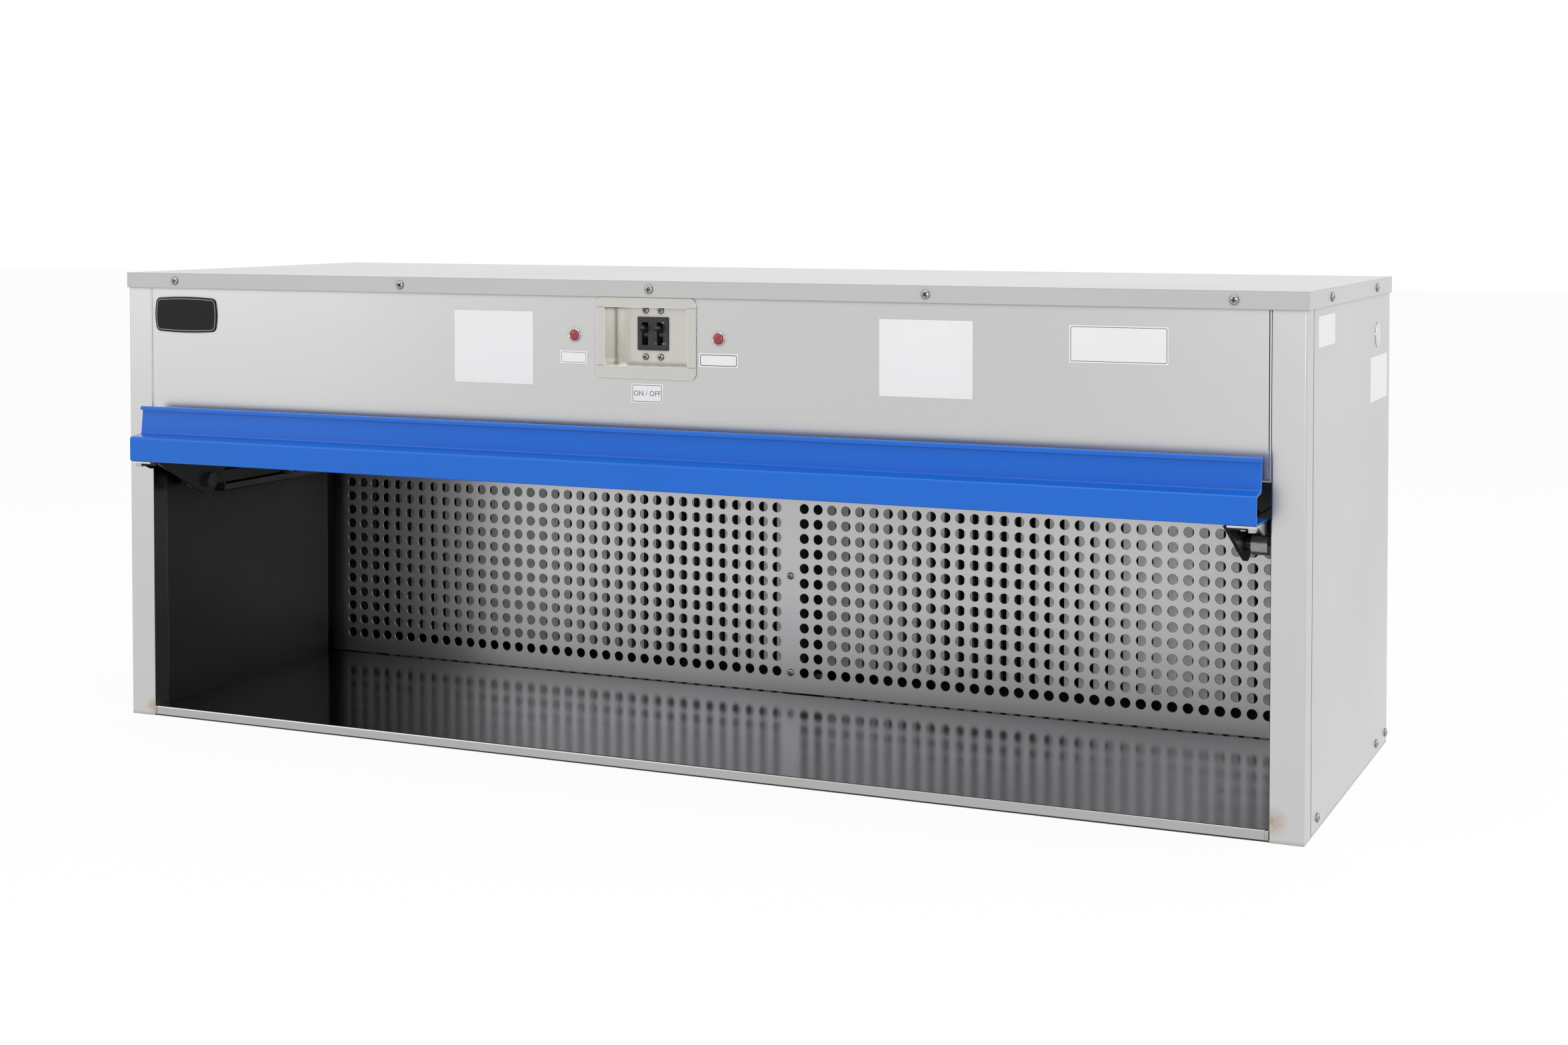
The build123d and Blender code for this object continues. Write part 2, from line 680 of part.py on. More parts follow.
# Supports behind the perforated back: a channel in the middle, an angle at each end
support_height = FAN_SHELF_HEIGHT - DECK_HEIGHT
with BuildPart() as centre_support:
    extrude(
        folded(
            Plane.XY.offset(DECK_HEIGHT),
            [
                (-SUPPORT_WIDTH / 2, PLENUM_FRONT + SUPPORT_LEG),
                (-SUPPORT_WIDTH / 2, PLENUM_FRONT),
                (SUPPORT_WIDTH / 2, PLENUM_FRONT),
                (SUPPORT_WIDTH / 2, PLENUM_FRONT + SUPPORT_LEG),
            ],
        ),
        amount=support_height,
    )

with BuildPart() as end_support:
    extrude(
        folded(
            Plane.XY.offset(DECK_HEIGHT),
            [
                (CAVITY_HALF - SUPPORT_WIDTH / 2, PLENUM_FRONT + SUPPORT_LEG),
                (CAVITY_HALF - SUPPORT_WIDTH / 2, PLENUM_FRONT),
                (CAVITY_HALF - SEAM, PLENUM_FRONT),
            ],
        ),
        amount=support_height,
    )
back_supports = Compound(children=[*centre_support.solids(), *both_ends(end_support.part).solids()])
write(back_supports, "back_supports")

# Filter channels: one on the deck and one under the fan shelf, at each side
filter_inner_x = SUPPORT_WIDTH / 2 + FILTER_PLAY
filter_outer_x = CAVITY_HALF - SUPPORT_WIDTH / 2 - FILTER_PLAY
filter_width = filter_outer_x - filter_inner_x
channel_back = PLENUM_BACK - SEAM
filter_back = channel_back - SHEET - FILTER_PLAY
channel_front = filter_back - FILTER_DEPTH - FILTER_PLAY - SHEET
with BuildPart() as filter_channels:
    lower = [
        (channel_front, DECK_HEIGHT + CHANNEL_LEG),
        (channel_front, DECK_HEIGHT),
        (channel_back, DECK_HEIGHT),
        (channel_back, DECK_HEIGHT + CHANNEL_LEG),
    ]
    upper = [(y, DECK_HEIGHT + FAN_SHELF_HEIGHT - z) for y, z in lower]
    extrude(folded(right_plane(filter_inner_x), lower), amount=filter_width)
    extrude(folded(right_plane(filter_inner_x), upper, side=Side.RIGHT), amount=filter_width)
write(both_ends(filter_channels.part), "filter_channels")

# Grease filter at the back of the plenum: a frame crossed by upright baffles
filter_bottom = DECK_HEIGHT + SHEET
filter_height = FAN_SHELF_HEIGHT - SHEET - FILTER_PLAY - filter_bottom
with BuildPart() as grease_filter:
    slot_height = filter_height - 2 * FILTER_FRAME
    slots = int((filter_width - 2 * FILTER_FRAME) / FILTER_SLOT_PITCH)
    with BuildSketch(front_plane(filter_back)):
        with Locations(((filter_inner_x + filter_outer_x) / 2, filter_bottom + filter_height / 2)):
            Rectangle(filter_width, filter_height)
            with GridLocations(FILTER_SLOT_PITCH, 0, slots, 1):
                Rectangle(FILTER_SLOT_WIDTH, slot_height, mode=Mode.SUBTRACT)
    extrude(amount=FILTER_DEPTH)
    rim = grease_filter.edges().filter_by(Axis.X).group_by(Axis.Z)
    chamfer(rim[0] + rim[-1], 2 * FILTER_PLAY)
write_pair(grease_filter.part, "grease_filter")

# Heater: a hairpin of metal-sheathed tube that lies in the duct, over the ceiling's slots
heater_z = CEILING_TOP + HEATER_RISE
heater_front = slot_y - HEATER_SPAN / 2
heater_back = slot_y + HEATER_SPAN / 2
heater_outer_x = CAVITY_HALF - HEATER_END_GAP
with BuildPart() as heater:
    with BuildLine(Plane.XY.offset(heater_z)) as heater_path:
        FilletPolyline(
            (HEATER_INNER_X, heater_front),
            (heater_outer_x, heater_front),
            (heater_outer_x, heater_back),
            (HEATER_INNER_X, heater_back),
            radius=HEATER_BEND,
        )
    with BuildSketch(Plane(heater_path.line @ 0, z_dir=heater_path.line % 0)):
        Circle(HEATER_TUBE / 2)
    sweep(path=heater_path.line)
write(both_ends(heater.part), "heaters")

# Heater brackets: bridges on the ceiling that the tubes lie on
with BuildPart() as heater_brackets:
    strap_z = heater_z - HEATER_TUBE / 2
    for x in HEATER_BRACKETS:
        extrude(
            folded(
                right_plane(x),
                [
                    (heater_front - HEATER_BRACKET_MARGIN, CEILING_TOP),
                    (heater_front - HEATER_BRACKET_MARGIN, strap_z),
                    (heater_back + HEATER_BRACKET_MARGIN, strap_z),
                    (heater_back + HEATER_BRACKET_MARGIN, CEILING_TOP),
                ],
                side=Side.RIGHT,
            ),
            amount=HEATER_BRACKET_WIDTH,
        )
write(both_ends(heater_brackets.part), "heater_brackets")

# Fan shelf: closes the plenum over the filters, with an eye under each fan
with BuildPart() as fan_shelf:
    with BuildSketch(Plane.XY.offset(FAN_SHELF_HEIGHT)):
        with Locations((0, FAN_Y)):
            Rectangle(2 * (PLENUM_HALF - SEAM), PLENUM_BACK - PLENUM_FRONT)
        with Locations((-FAN_X, FAN_Y), (FAN_X, FAN_Y)):
            Circle(FAN_BORE / 2, mode=Mode.SUBTRACT)
    extrude(amount=SHEET)
write(fan_shelf.part, "fan_shelf")

# Fan housing: a square frame round the bore, with a spider that holds the bush
fan_bottom = FAN_SHELF_HEIGHT + SHEET
with BuildPart() as fan_housing:
    with BuildSketch(Plane.XY.offset(fan_bottom)):
        with Locations((FAN_X, FAN_Y)):
            RectangleRounded(FAN_SIZE, FAN_SIZE, FAN_CORNER)
            Circle(FAN_BORE / 2, mode=Mode.SUBTRACT)
    extrude(amount=FAN_THICKNESS)
    with BuildSketch(Plane.XY.offset(fan_bottom)):
        with Locations((FAN_X, FAN_Y)):
            Rectangle(FAN_SIZE - FAN_SPIDER, FAN_SPIDER)
            Rectangle(FAN_SPIDER, FAN_SIZE - FAN_SPIDER)
            Circle(FAN_HUB / 2)
            Circle(FAN_SHAFT / 2 + RUNNING_FIT, mode=Mode.SUBTRACT)
    extrude(amount=FAN_SPIDER)
write(both_ends(fan_housing.part), "fan_housings")

# Fan impeller: pitched blades round a hub, on a shaft that turns in the bush
with BuildPart() as fan_impeller:
    hub_bottom = fan_bottom + FAN_SPIDER + FAN_PLAY
    hub_height = FAN_THICKNESS - FAN_SPIDER - 2 * FAN_PLAY
    with Locations((FAN_X, FAN_Y, hub_bottom)):
        Cylinder(FAN_HUB / 2, hub_height, align=SEATED)
        Cylinder(FAN_SHAFT / 2, FAN_SPIDER, align=HANGING)
    with Locations((FAN_X, FAN_Y, hub_bottom + hub_height / 2)):
        with PolarLocations((FAN_HUB + FAN_TIP) / 4 - FAN_BLADE_SHEET / 2, FAN_BLADES):
            Box(
                (FAN_TIP - FAN_HUB) / 2 + FAN_BLADE_SHEET,
                FAN_BLADE_SHEET,
                FAN_BLADE_HEIGHT,
                rotation=(FAN_BLADE_ANGLE, 0, 0),
            )
write_pair(fan_impeller.part, "fan_impeller")

# Insulation: mineral boards beside the cavity and over its ceiling
with BuildPart() as side_insulation:
    with BuildSketch(Plane.XY.offset(SHEET)):
        with BuildLine():
            board_outer = PAN_HALF - SHEET
            board_front = pan_step + INSULATION_GAP
            board_back = LINER_BACK - BEND
            Polyline(
                (CAVITY_HALF + SHEET, board_front),
                (board_outer, board_front),
                (board_outer, board_back),
                (CAVITY_HALF + SHEET, board_back),
                close=True,
            )
        make_face()
    extrude(amount=CEILING_HEIGHT - SHEET)
    with Locations(panel_screw_spots):
        Cylinder(SCREW_HEAD / 2, 2 * (PANEL_SCREW_LENGTH + INSULATION_GAP), mode=Mode.SUBTRACT)
write(both_ends(side_insulation.part), "side_insulation")

plate_front = FRONT + PLATE_FRONT
plate_depth = DUCT_FRONT - DUCT_FOOT - PLATE_GAP - plate_front
plate_middle = plate_front + plate_depth / 2
with BuildPart() as ceiling_insulation:
    board_from = FRONT + CEILING_FOLD
    board_to = DUCT_FRONT - DUCT_FOOT - INSULATION_GAP
    with BuildSketch(Plane.XY.offset(CEILING_TOP)):
        with Locations((0, (board_from + board_to) / 2)):
            Rectangle(2 * (CAVITY_HALF - INSULATION_GAP), board_to - board_from)
        with Locations((-PLATE_HALF, plate_middle), (PLATE_HALF, plate_middle)):
            Rectangle(2 * PLATE_FOOT + INSULATION_GAP, plate_depth + INSULATION_GAP, mode=Mode.SUBTRACT)
    extrude(amount=INSULATION)
write(ceiling_insulation.part, "ceiling_insulation")

# Control plate: a raised bridge over the insulation that carries the controls
with BuildPart() as control_plate:
    bridge = [
        (-PLATE_HALF - PLATE_FOOT, CEILING_TOP),
        (-PLATE_HALF, CEILING_TOP),
        (-PLATE_HALF, CEILING_TOP + PLATE_HEIGHT),
        (PLATE_HALF, CEILING_TOP + PLATE_HEIGHT),
        (PLATE_HALF, CEILING_TOP),
        (PLATE_HALF + PLATE_FOOT, CEILING_TOP),
    ]
    extrude(folded(front_plane(plate_front), bridge), amount=-plate_depth)
write(control_plate.part, "control_plate")

# Contactor: switches the heaters, ribbed where its terminals are
with BuildPart() as contactor:
    wide, deep, tall = CONTACTOR_SIZE
    with Locations((CONTACTOR_X, plate_middle, CONTROL_PLATE_Z)):
        Box(wide, deep, tall, align=SEATED)
    with Locations((CONTACTOR_X, plate_middle, CONTROL_PLATE_Z + tall)):
        with GridLocations(wide / 3, 0.8 * deep, 3, 2):
            Box(wide / 6, deep / 6, tall / 4, align=HANGING, mode=Mode.SUBTRACT)
write(contactor.part, "contactor")

# Terminal block: the supply comes in here, with a barrier between the ways
with BuildPart() as terminal_block:
    wide, deep, tall = TERMINAL_SIZE
    terminal_x = PLATE_HALF - TERMINAL_INSET
    with Locations((terminal_x, plate_middle, CONTROL_PLATE_Z)):
        Box(wide, deep, tall, align=SEATED)
    with Locations((terminal_x, plate_middle, CONTROL_PLATE_Z + tall)):
        with GridLocations(wide / TERMINAL_WAYS, 0, TERMINAL_WAYS, 1):
            way = wide / TERMINAL_WAYS - TERMINAL_BARRIER
            Box(way, deep, tall / 2, align=HANGING, mode=Mode.SUBTRACT)
write(terminal_block.part, "terminal_block")

# Thermostat and the over-heat switch that backs it up
with BuildPart() as thermostat:
    wide, deep, tall = THERMOSTAT_SIZE
    with Locations((THERMOSTAT_X, plate_middle, CONTROL_PLATE_Z)):
        Box(wide, deep, tall, align=SEATED)
    with Locations((THERMOSTAT_X, plate_middle, CONTROL_PLATE_Z + tall)):
        Cylinder(THERMOSTAT_STEM / 2, THERMOSTAT_STEM_LENGTH, align=SEATED)
write(thermostat.part, "thermostat")

with BuildPart() as over_heat_switch:
    with Locations((FAN_X, slot_y, duct_top + SHEET)):
        Cylinder(LIMIT_SWITCH / 2, LIMIT_SWITCH_HEIGHT, align=SEATED)
write(over_heat_switch.part, "over_heat_switch")

# Breaker recess: a flanged box let into the fascia, with the window at its back
recess_back = FRONT + RECESS_DEPTH
breaker_screw_spots = spots(
    front_plane(recess_back - SHEET),
    [
        (BREAKER_X + i * BREAKER_SCREW_X / 2, BREAKER_Z + j * BREAKER_SCREW_Z / 2)
        for i in (-1, 1)
        for j in (-1, 1)
    ],
)
with BuildPart() as breaker_recess:
    with BuildSketch(front_plane(FRONT)):
        with Locations((RECESS_X, FRAME_Z)):
            RectangleRounded(FRAME_WIDTH, FRAME_HEIGHT, FRAME_CORNER)
    extrude(amount=SHEET)
    with BuildSketch(front_plane(FRONT)):
        with Locations((RECESS_X, RECESS_Z)):
            Rectangle(RECESS_WIDTH + 2 * SHEET, RECESS_HEIGHT + 2 * SHEET)
    extrude(amount=-RECESS_DEPTH)
    with BuildSketch(front_plane(FRONT - SHEET)):
        with Locations((RECESS_X, RECESS_Z)):
            Rectangle(RECESS_WIDTH, RECESS_HEIGHT)
    extrude(amount=-RECESS_DEPTH, mode=Mode.SUBTRACT)
    with BuildSketch(front_plane(recess_back)):
        with Locations((BREAKER_X, BREAKER_Z)):
            Rectangle(BREAKER_FACE_WIDTH + 2 * RECESS_PLAY, BREAKER_FACE_HEIGHT + 2 * RECESS_PLAY)
    extrude(amount=SHEET, mode=Mode.SUBTRACT)
    with Locations(breaker_screw_spots):
        Cylinder(SCREW_SHANK / 2 + SCREW_PLAY, 3 * SHEET, mode=Mode.SUBTRACT)
write(breaker_recess.part, "breaker_recess")

# Breaker: two poles side by side, slotted for the toggles and bored for their shaft
toggle_pivot_y = BREAKER_FACE_Y + TOGGLE_PIVOT_DEPTH
pole_xs = [BREAKER_X - POLE_PITCH / 2, BREAKER_X + POLE_PITCH / 2]
with BuildPart() as breaker:
    with BuildSketch(front_plane(recess_back)):
        with Locations((BREAKER_X, BREAKER_Z)):
            Rectangle(BREAKER_FACE_WIDTH, BREAKER_BODY_HEIGHT)
    extrude(amount=-BREAKER_BODY_DEPTH)
    with BuildSketch(front_plane(recess_back)):
        with Locations((BREAKER_X, BREAKER_Z)):
            Rectangle(BREAKER_FACE_WIDTH, BREAKER_FACE_HEIGHT)
    extrude(amount=SHEET + BREAKER_PROUD)
    with BuildSketch(front_plane(BREAKER_FACE_Y)):
        with Locations(*[(x, BREAKER_Z) for x in pole_xs]):
            Rectangle(TOGGLE_SLOT_WIDTH, TOGGLE_SLOT_HEIGHT)
    extrude(amount=-TOGGLE_SLOT_DEPTH, mode=Mode.SUBTRACT)
    with Locations(spots(right_plane(BREAKER_X), [(toggle_pivot_y, BREAKER_Z)])):
        Cylinder(TOGGLE_SHAFT / 2 + RUNNING_FIT, BREAKER_FACE_WIDTH, mode=Mode.SUBTRACT)
write(breaker.part, "breaker")

# Toggles: two levers on one shaft, because the poles trip together; ON is up
with BuildPart() as breaker_toggles:
    with Locations(spots(right_plane(BREAKER_X), [(toggle_pivot_y, BREAKER_Z)])):
        Cylinder(TOGGLE_SHAFT / 2, BREAKER_FACE_WIDTH - 2 * RECESS_PLAY)
    for x in pole_xs:
        with Locations(spots(right_plane(x), [(toggle_pivot_y, BREAKER_Z)])):
            Cylinder(TOGGLE_HUB / 2, TOGGLE_WIDTH)
        with BuildSketch(left_plane(x)):
            with Locations(Location((-toggle_pivot_y, BREAKER_Z), TOGGLE_ANGLE)):
                with Locations((TOGGLE_REACH / 2, 0)):
                    RectangleRounded(TOGGLE_REACH, TOGGLE_THICKNESS, TOGGLE_THICKNESS / 3)
        extrude(amount=TOGGLE_WIDTH / 2, both=True)
write(breaker_toggles.part, "breaker_toggles")

with BuildPart() as breaker_screws:
    with Locations(breaker_screw_spots):
        Cylinder(BREAKER_SCREW_HEAD / 2, SCREW_HEAD_DEPTH, align=SEATED)
        Cylinder(SCREW_SHANK / 2, SHEET, align=HANGING)
write(breaker_screws.part, "breaker_screws")

# Pilot lights: bezels on the fascia, a domed lens in each and the lamps behind
with BuildPart() as pilot_bezels:
    with BuildSketch(front_plane(FRONT)):
        with Locations(*pilot_points):
            Circle(PILOT_BEZEL / 2)
            Circle(PILOT_LENS / 2 + RUNNING_FIT, mode=Mode.SUBTRACT)
    extrude(amount=PILOT_BEZEL_DEPTH)
write(pilot_bezels.part, "pilot_bezels")

for name, point in zip(("power_light_lens", "trouble_light_lens"), pilot_points):
    with BuildPart() as lens:
        with BuildSketch(front_plane(FRONT)):
            with Locations(point):
                Circle(PILOT_LENS / 2)
        extrude(amount=PILOT_LENS_DEPTH)
        chamfer(lens.edges().group_by(Axis.Y)[0], PILOT_LENS_DEPTH - PILOT_BEZEL_DEPTH)
    write(lens.part, name)

with BuildPart() as pilot_lamps:
    with BuildSketch(front_plane(FRONT)):
        with Locations(*pilot_points):
            Circle(PILOT_LENS / 2)
    extrude(amount=-PILOT_BODY_DEPTH)
write(pilot_lamps.part, "pilot_lamps")

# Rail: a lipped channel welded to the liner, open at its front end
rail_top = RAIL_BOTTOM + RAIL_HEIGHT
with BuildPart() as rail:
    section = folded(
        front_plane(RAIL_Y),
        [
            (RAIL_X, RAIL_BOTTOM + RAIL_LIP),
            (RAIL_X, RAIL_BOTTOM),
            (CAVITY_HALF, RAIL_BOTTOM),
            (CAVITY_HALF, rail_top),
            (RAIL_X, rail_top),
            (RAIL_X, rail_top - RAIL_LIP),
        ],
        sheet=RAIL_SHEET,
        bend=RAIL_BEND,
    )
    extrude(section, amount=-RAIL_LENGTH)
write(both_ends(rail.part), "rails")

# Rail stops: blocks at the two ends of the rail that set the door's travel
with BuildPart() as rail_stops:
    with BuildSketch(front_plane(RAIL_Y), front_plane(RAIL_Y + RAIL_LENGTH - RAIL_STOP)):
        with Locations((RAIL_X + RAIL_WIDTH / 2, RAIL_BOTTOM + RAIL_HEIGHT / 2)):
            Rectangle(RAIL_WIDTH - 2 * RAIL_SHEET, RAIL_HEIGHT - 2 * RAIL_BEND)
    extrude(amount=-RAIL_STOP)
write(both_ends(rail_stops.part), "rail_stops")

# Glide: a nylon block that slides in the rail
glide_bolt_ys = [GLIDE_Y - GLIDE_BOLT_PITCH / 2, GLIDE_Y + GLIDE_BOLT_PITCH / 2]
glide_bolt_points = [(y, GLIDE_BOLT_HEIGHT) for y in glide_bolt_ys]
glide_width = RAIL_WIDTH - 2 * RAIL_SHEET - 2 * GLIDE_PLAY
with BuildPart() as glide:
    with Locations((GLIDE_X + glide_width / 2, GLIDE_Y, RAIL_BOTTOM + RAIL_HEIGHT / 2)):
        Box(glide_width, GLIDE_LENGTH, RAIL_HEIGHT - 2 * RAIL_SHEET - 2 * GLIDE_PLAY)
    chamfer(glide.edges(), GLIDE_CORNER)
    with Locations(spots(right_plane(GLIDE_X), glide_bolt_points)):
        Cylinder(GLIDE_BOLT / 2, GLIDE_BOLT_GRIP, align=SEATED, mode=Mode.SUBTRACT)
write(both_ends(glide.part), "glides")

# Carriage bar: joins the glide to the door's pivot
carriage_back = GLIDE_Y + GLIDE_LENGTH / 2 - ARM_HEIGHT / 2
with BuildPart() as carriage_bar:
    with BuildSketch(right_plane(CARRIAGE_X)):
        with Locations(((PIVOT_Y + carriage_back) / 2, PIVOT_HEIGHT)):
            SlotCenterToCenter(carriage_back - PIVOT_Y, ARM_HEIGHT)
        with Locations(*glide_bolt_points):
            Circle(GLIDE_BOLT / 2, mode=Mode.SUBTRACT)
        with Locations((PIVOT_Y, PIVOT_HEIGHT)):
            Circle(BOLT / 2, mode=Mode.SUBTRACT)
    extrude(amount=CARRIAGE_THICKNESS)
write(both_ends(carriage_bar.part), "carriage_bars")

# Shoulder bolts: clamp the glide to the carriage bar through the rail's slot
with BuildPart() as glide_bolts:
    with Locations(spots(right_plane(CARRIAGE_X), glide_bolt_points)):
        Cylinder(GLIDE_BOLT_HEAD / 2, GLIDE_BOLT_HEAD_DEPTH, align=HANGING)
        Cylinder(GLIDE_BOLT / 2, GLIDE_X + GLIDE_BOLT_GRIP - CARRIAGE_X, align=SEATED)
    with Locations(spots(right_plane(CARRIAGE_X + CARRIAGE_THICKNESS), glide_bolt_points)):
        Cylinder(GLIDE_BOLT_COLLAR / 2, GLIDE_X - CARRIAGE_X - CARRIAGE_THICKNESS, align=SEATED)
write(both_ends(glide_bolts.part), "glide_bolts")

# Cross shaft: a tube that keeps the two carriages level with each other
with BuildPart() as cross_shaft:
    with BuildSketch(right_plane(0)):
        with Locations((GLIDE_Y, PIVOT_HEIGHT)):
            Circle(CROSS_SHAFT / 2)
            Circle(CROSS_SHAFT_BORE / 2, mode=Mode.SUBTRACT)
    extrude(amount=CARRIAGE_X, both=True)
write(cross_shaft.part, "cross_shaft")

# Pivot pin: fast in the carriage bar, running in the door's arm and rear bracket
with BuildPart() as pivot_pins:
    pivot_spot = (PIVOT_Y, PIVOT_HEIGHT)
    with Locations(spots(right_plane(BRACKET_X - PIN_PLAY), [pivot_spot])):
        Cylinder(PIN_HEAD / 2, PIN_HEAD_DEPTH, align=HANGING)
        Cylinder(BOLT / 2, CARRIAGE_X + CARRIAGE_THICKNESS - BRACKET_X + PIN_PLAY, align=SEATED)
    with Locations(spots(right_plane(CARRIAGE_X + CARRIAGE_THICKNESS), [pivot_spot])):
        Cylinder(PIN_HEAD / 2, PIN_HEAD_DEPTH, align=SEATED)
write(both_ends(pivot_pins.part), "pivot_pins")

# Door arm: a flat bar from the front bolt back to the pivot
with BuildPart() as door_arm:
    with BuildSketch(right_plane(ARM_X)):
        with Locations(((PIVOT_Y + BOLT_Y) / 2, PIVOT_HEIGHT)):
            SlotCenterToCenter(PIVOT_Y - BOLT_Y, ARM_HEIGHT)
        with Locations((BOLT_Y, PIVOT_HEIGHT)):
            Circle(BOLT / 2, mode=Mode.SUBTRACT)
        with Locations((PIVOT_Y, PIVOT_HEIGHT)):
            Circle(BOLT / 2 + RUNNING_FIT, mode=Mode.SUBTRACT)
    extrude(amount=ARM_THICKNESS)
write(both_ends(door_arm.part), "door_arms")


def bracket_plate(x, top, front, back, centre, nose, bore):
    """Plate that tapers from a straight top edge down to a round nose with a bore."""
    with BuildSketch(right_plane(x)) as plate:
        with BuildLine():
            Line((front, top), (back, top))
            CenterArc(centre, nose / 2, 0, 360)
        make_hull()
        with Locations(centre):
            Circle(bore / 2, mode=Mode.SUBTRACT)
    return plate.sketch


# Places of the small bolts that hold handle, strip, bracket and panel together
corner_bolt = (DOOR_HALF - CORNER_BOLT_INSET, DOOR_FRONT + CORNER_BOLT_DEPTH)
flange_bolt = (ARM_X + BRACKET_FLANGE / 2, DOOR_FRONT + FLANGE_BOLT_DEPTH)
panel_bolt = (ARM_X + BRACKET_FLANGE / 2, DOOR_FRONT + HANDLE_FOOT + FLANGE_BOLT_DEPTH)


def bolt_holes(plane, points):
    """Clearance holes for the door's small bolts, cut both ways from a plane."""
    with Locations(spots(plane, points)):
        Cylinder(DOOR_BOLT / 2 + SCREW_PLAY, 4 * BRACKET_SHEET, mode=Mode.SUBTRACT)


# Front bracket: the black gusset that carries the handle on the front bolt
with BuildPart() as front_bracket:
    bracket_front = DOOR_FRONT + BRACKET_FRONT
    plate = bracket_plate(
        BRACKET_X,
        STRIP_UNDER,
        bracket_front,
        bracket_front + BRACKET_LENGTH,
        (BOLT_Y, PIVOT_HEIGHT),
        BRACKET_NOSE,
        BOLT,
    )
    extrude(plate, amount=BRACKET_SHEET)
    with BuildSketch(Plane.XY.offset(STRIP_UNDER)):
        with Locations((ARM_X + BRACKET_FLANGE / 2, bracket_front + BRACKET_LENGTH / 2)):
            Rectangle(BRACKET_FLANGE, BRACKET_LENGTH)
    extrude(amount=-BRACKET_FLANGE_SHEET)
    bolt_holes(Plane.XY.offset(STRIP_UNDER), [flange_bolt, panel_bolt])
write(both_ends(front_bracket.part), "front_brackets")

# Rear bracket: hangs the back of the door from the pivot
with BuildPart() as rear_bracket:
    plate = bracket_plate(
        BRACKET_X,
        DOOR_FOOT_Z,
        PIVOT_Y - REAR_BRACKET_AHEAD,
        PIVOT_Y + REAR_BRACKET_BEHIND,
        (PIVOT_Y, PIVOT_HEIGHT),
        REAR_BRACKET_NOSE,
        BOLT + 2 * RUNNING_FIT,
    )
    extrude(plate, amount=BRACKET_SHEET)
    with BuildSketch(Plane.XY.offset(DOOR_FOOT_Z)):
        rear_length = REAR_BRACKET_AHEAD + REAR_BRACKET_BEHIND
        rear_middle = PIVOT_Y + (REAR_BRACKET_BEHIND - REAR_BRACKET_AHEAD) / 2
        with Locations((BRACKET_X - BRACKET_FLANGE / 2, rear_middle)):
            Rectangle(BRACKET_FLANGE, rear_length)
    extrude(amount=-BRACKET_FLANGE_SHEET)
write(both_ends(rear_bracket.part), "rear_brackets")

# Bumper sleeve on the front bolt, and the bolt itself
with BuildPart() as bumper_sleeve:
    with BuildSketch(right_plane(SLEEVE_X)):
        with Locations((BOLT_Y, PIVOT_HEIGHT)):
            Circle(SLEEVE / 2)
            Circle(BOLT / 2, mode=Mode.SUBTRACT)
    extrude(amount=SLEEVE_LENGTH)
write(both_ends(bumper_sleeve.part), "bumper_sleeves")

with BuildPart() as front_bolts:
    with BuildSketch(right_plane(BRACKET_X)):
        with Locations((BOLT_Y, PIVOT_HEIGHT)):
            RegularPolygon(BOLT_HEAD / 2, 6, major_radius=False)
    extrude(amount=-BOLT_HEAD_DEPTH)
    with Locations(spots(right_plane(BRACKET_X), [(BOLT_Y, PIVOT_HEIGHT)])):
        Cylinder(BOLT / 2, SLEEVE_X + SLEEVE_LENGTH - BRACKET_X, align=SEATED)
    with BuildSketch(right_plane(SLEEVE_X + SLEEVE_LENGTH)):
        with Locations((BOLT_Y, PIVOT_HEIGHT)):
            RegularPolygon(BOLT_HEAD / 2, 6, major_radius=False)
    extrude(amount=BOLT_NUT_DEPTH)
write(both_ends(front_bolts.part), "front_bolts")

# Door strip: a stainless angle under each end of the handle, tapered at its front
with BuildPart() as door_strip:
    strip_front = DOOR_FRONT + STRIP_REST
    section = folded(
        front_plane(strip_front),
        [
            (DOOR_HALF - STRIP_WIDTH, DOOR_FOOT_Z),
            (DOOR_HALF, DOOR_FOOT_Z),
            (DOOR_HALF, DOOR_FOOT_Z - STRIP_FLANGE),
        ],
        sheet=STRIP_SHEET,
        side=Side.RIGHT,
    )
    extrude(section, amount=-STRIP_LENGTH)
    with BuildSketch(right_plane(DOOR_HALF - STRIP_WIDTH)):
        with BuildLine():
            Polyline(
                (DOOR_FRONT, STRIP_UNDER),
                (DOOR_FRONT + STRIP_TAPER_START, STRIP_UNDER),
                (DOOR_FRONT + STRIP_TAPER_START + STRIP_TAPER, DOOR_FOOT_Z - STRIP_FLANGE),
                (DOOR_FRONT, DOOR_FOOT_Z - STRIP_FLANGE),
                close=True,
            )
        make_face()
    extrude(amount=STRIP_WIDTH, mode=Mode.SUBTRACT)
    bolt_holes(Plane.XY.offset(DOOR_FOOT_Z), [corner_bolt, flange_bolt, panel_bolt])
write(both_ends(door_strip.part), "door_strips")

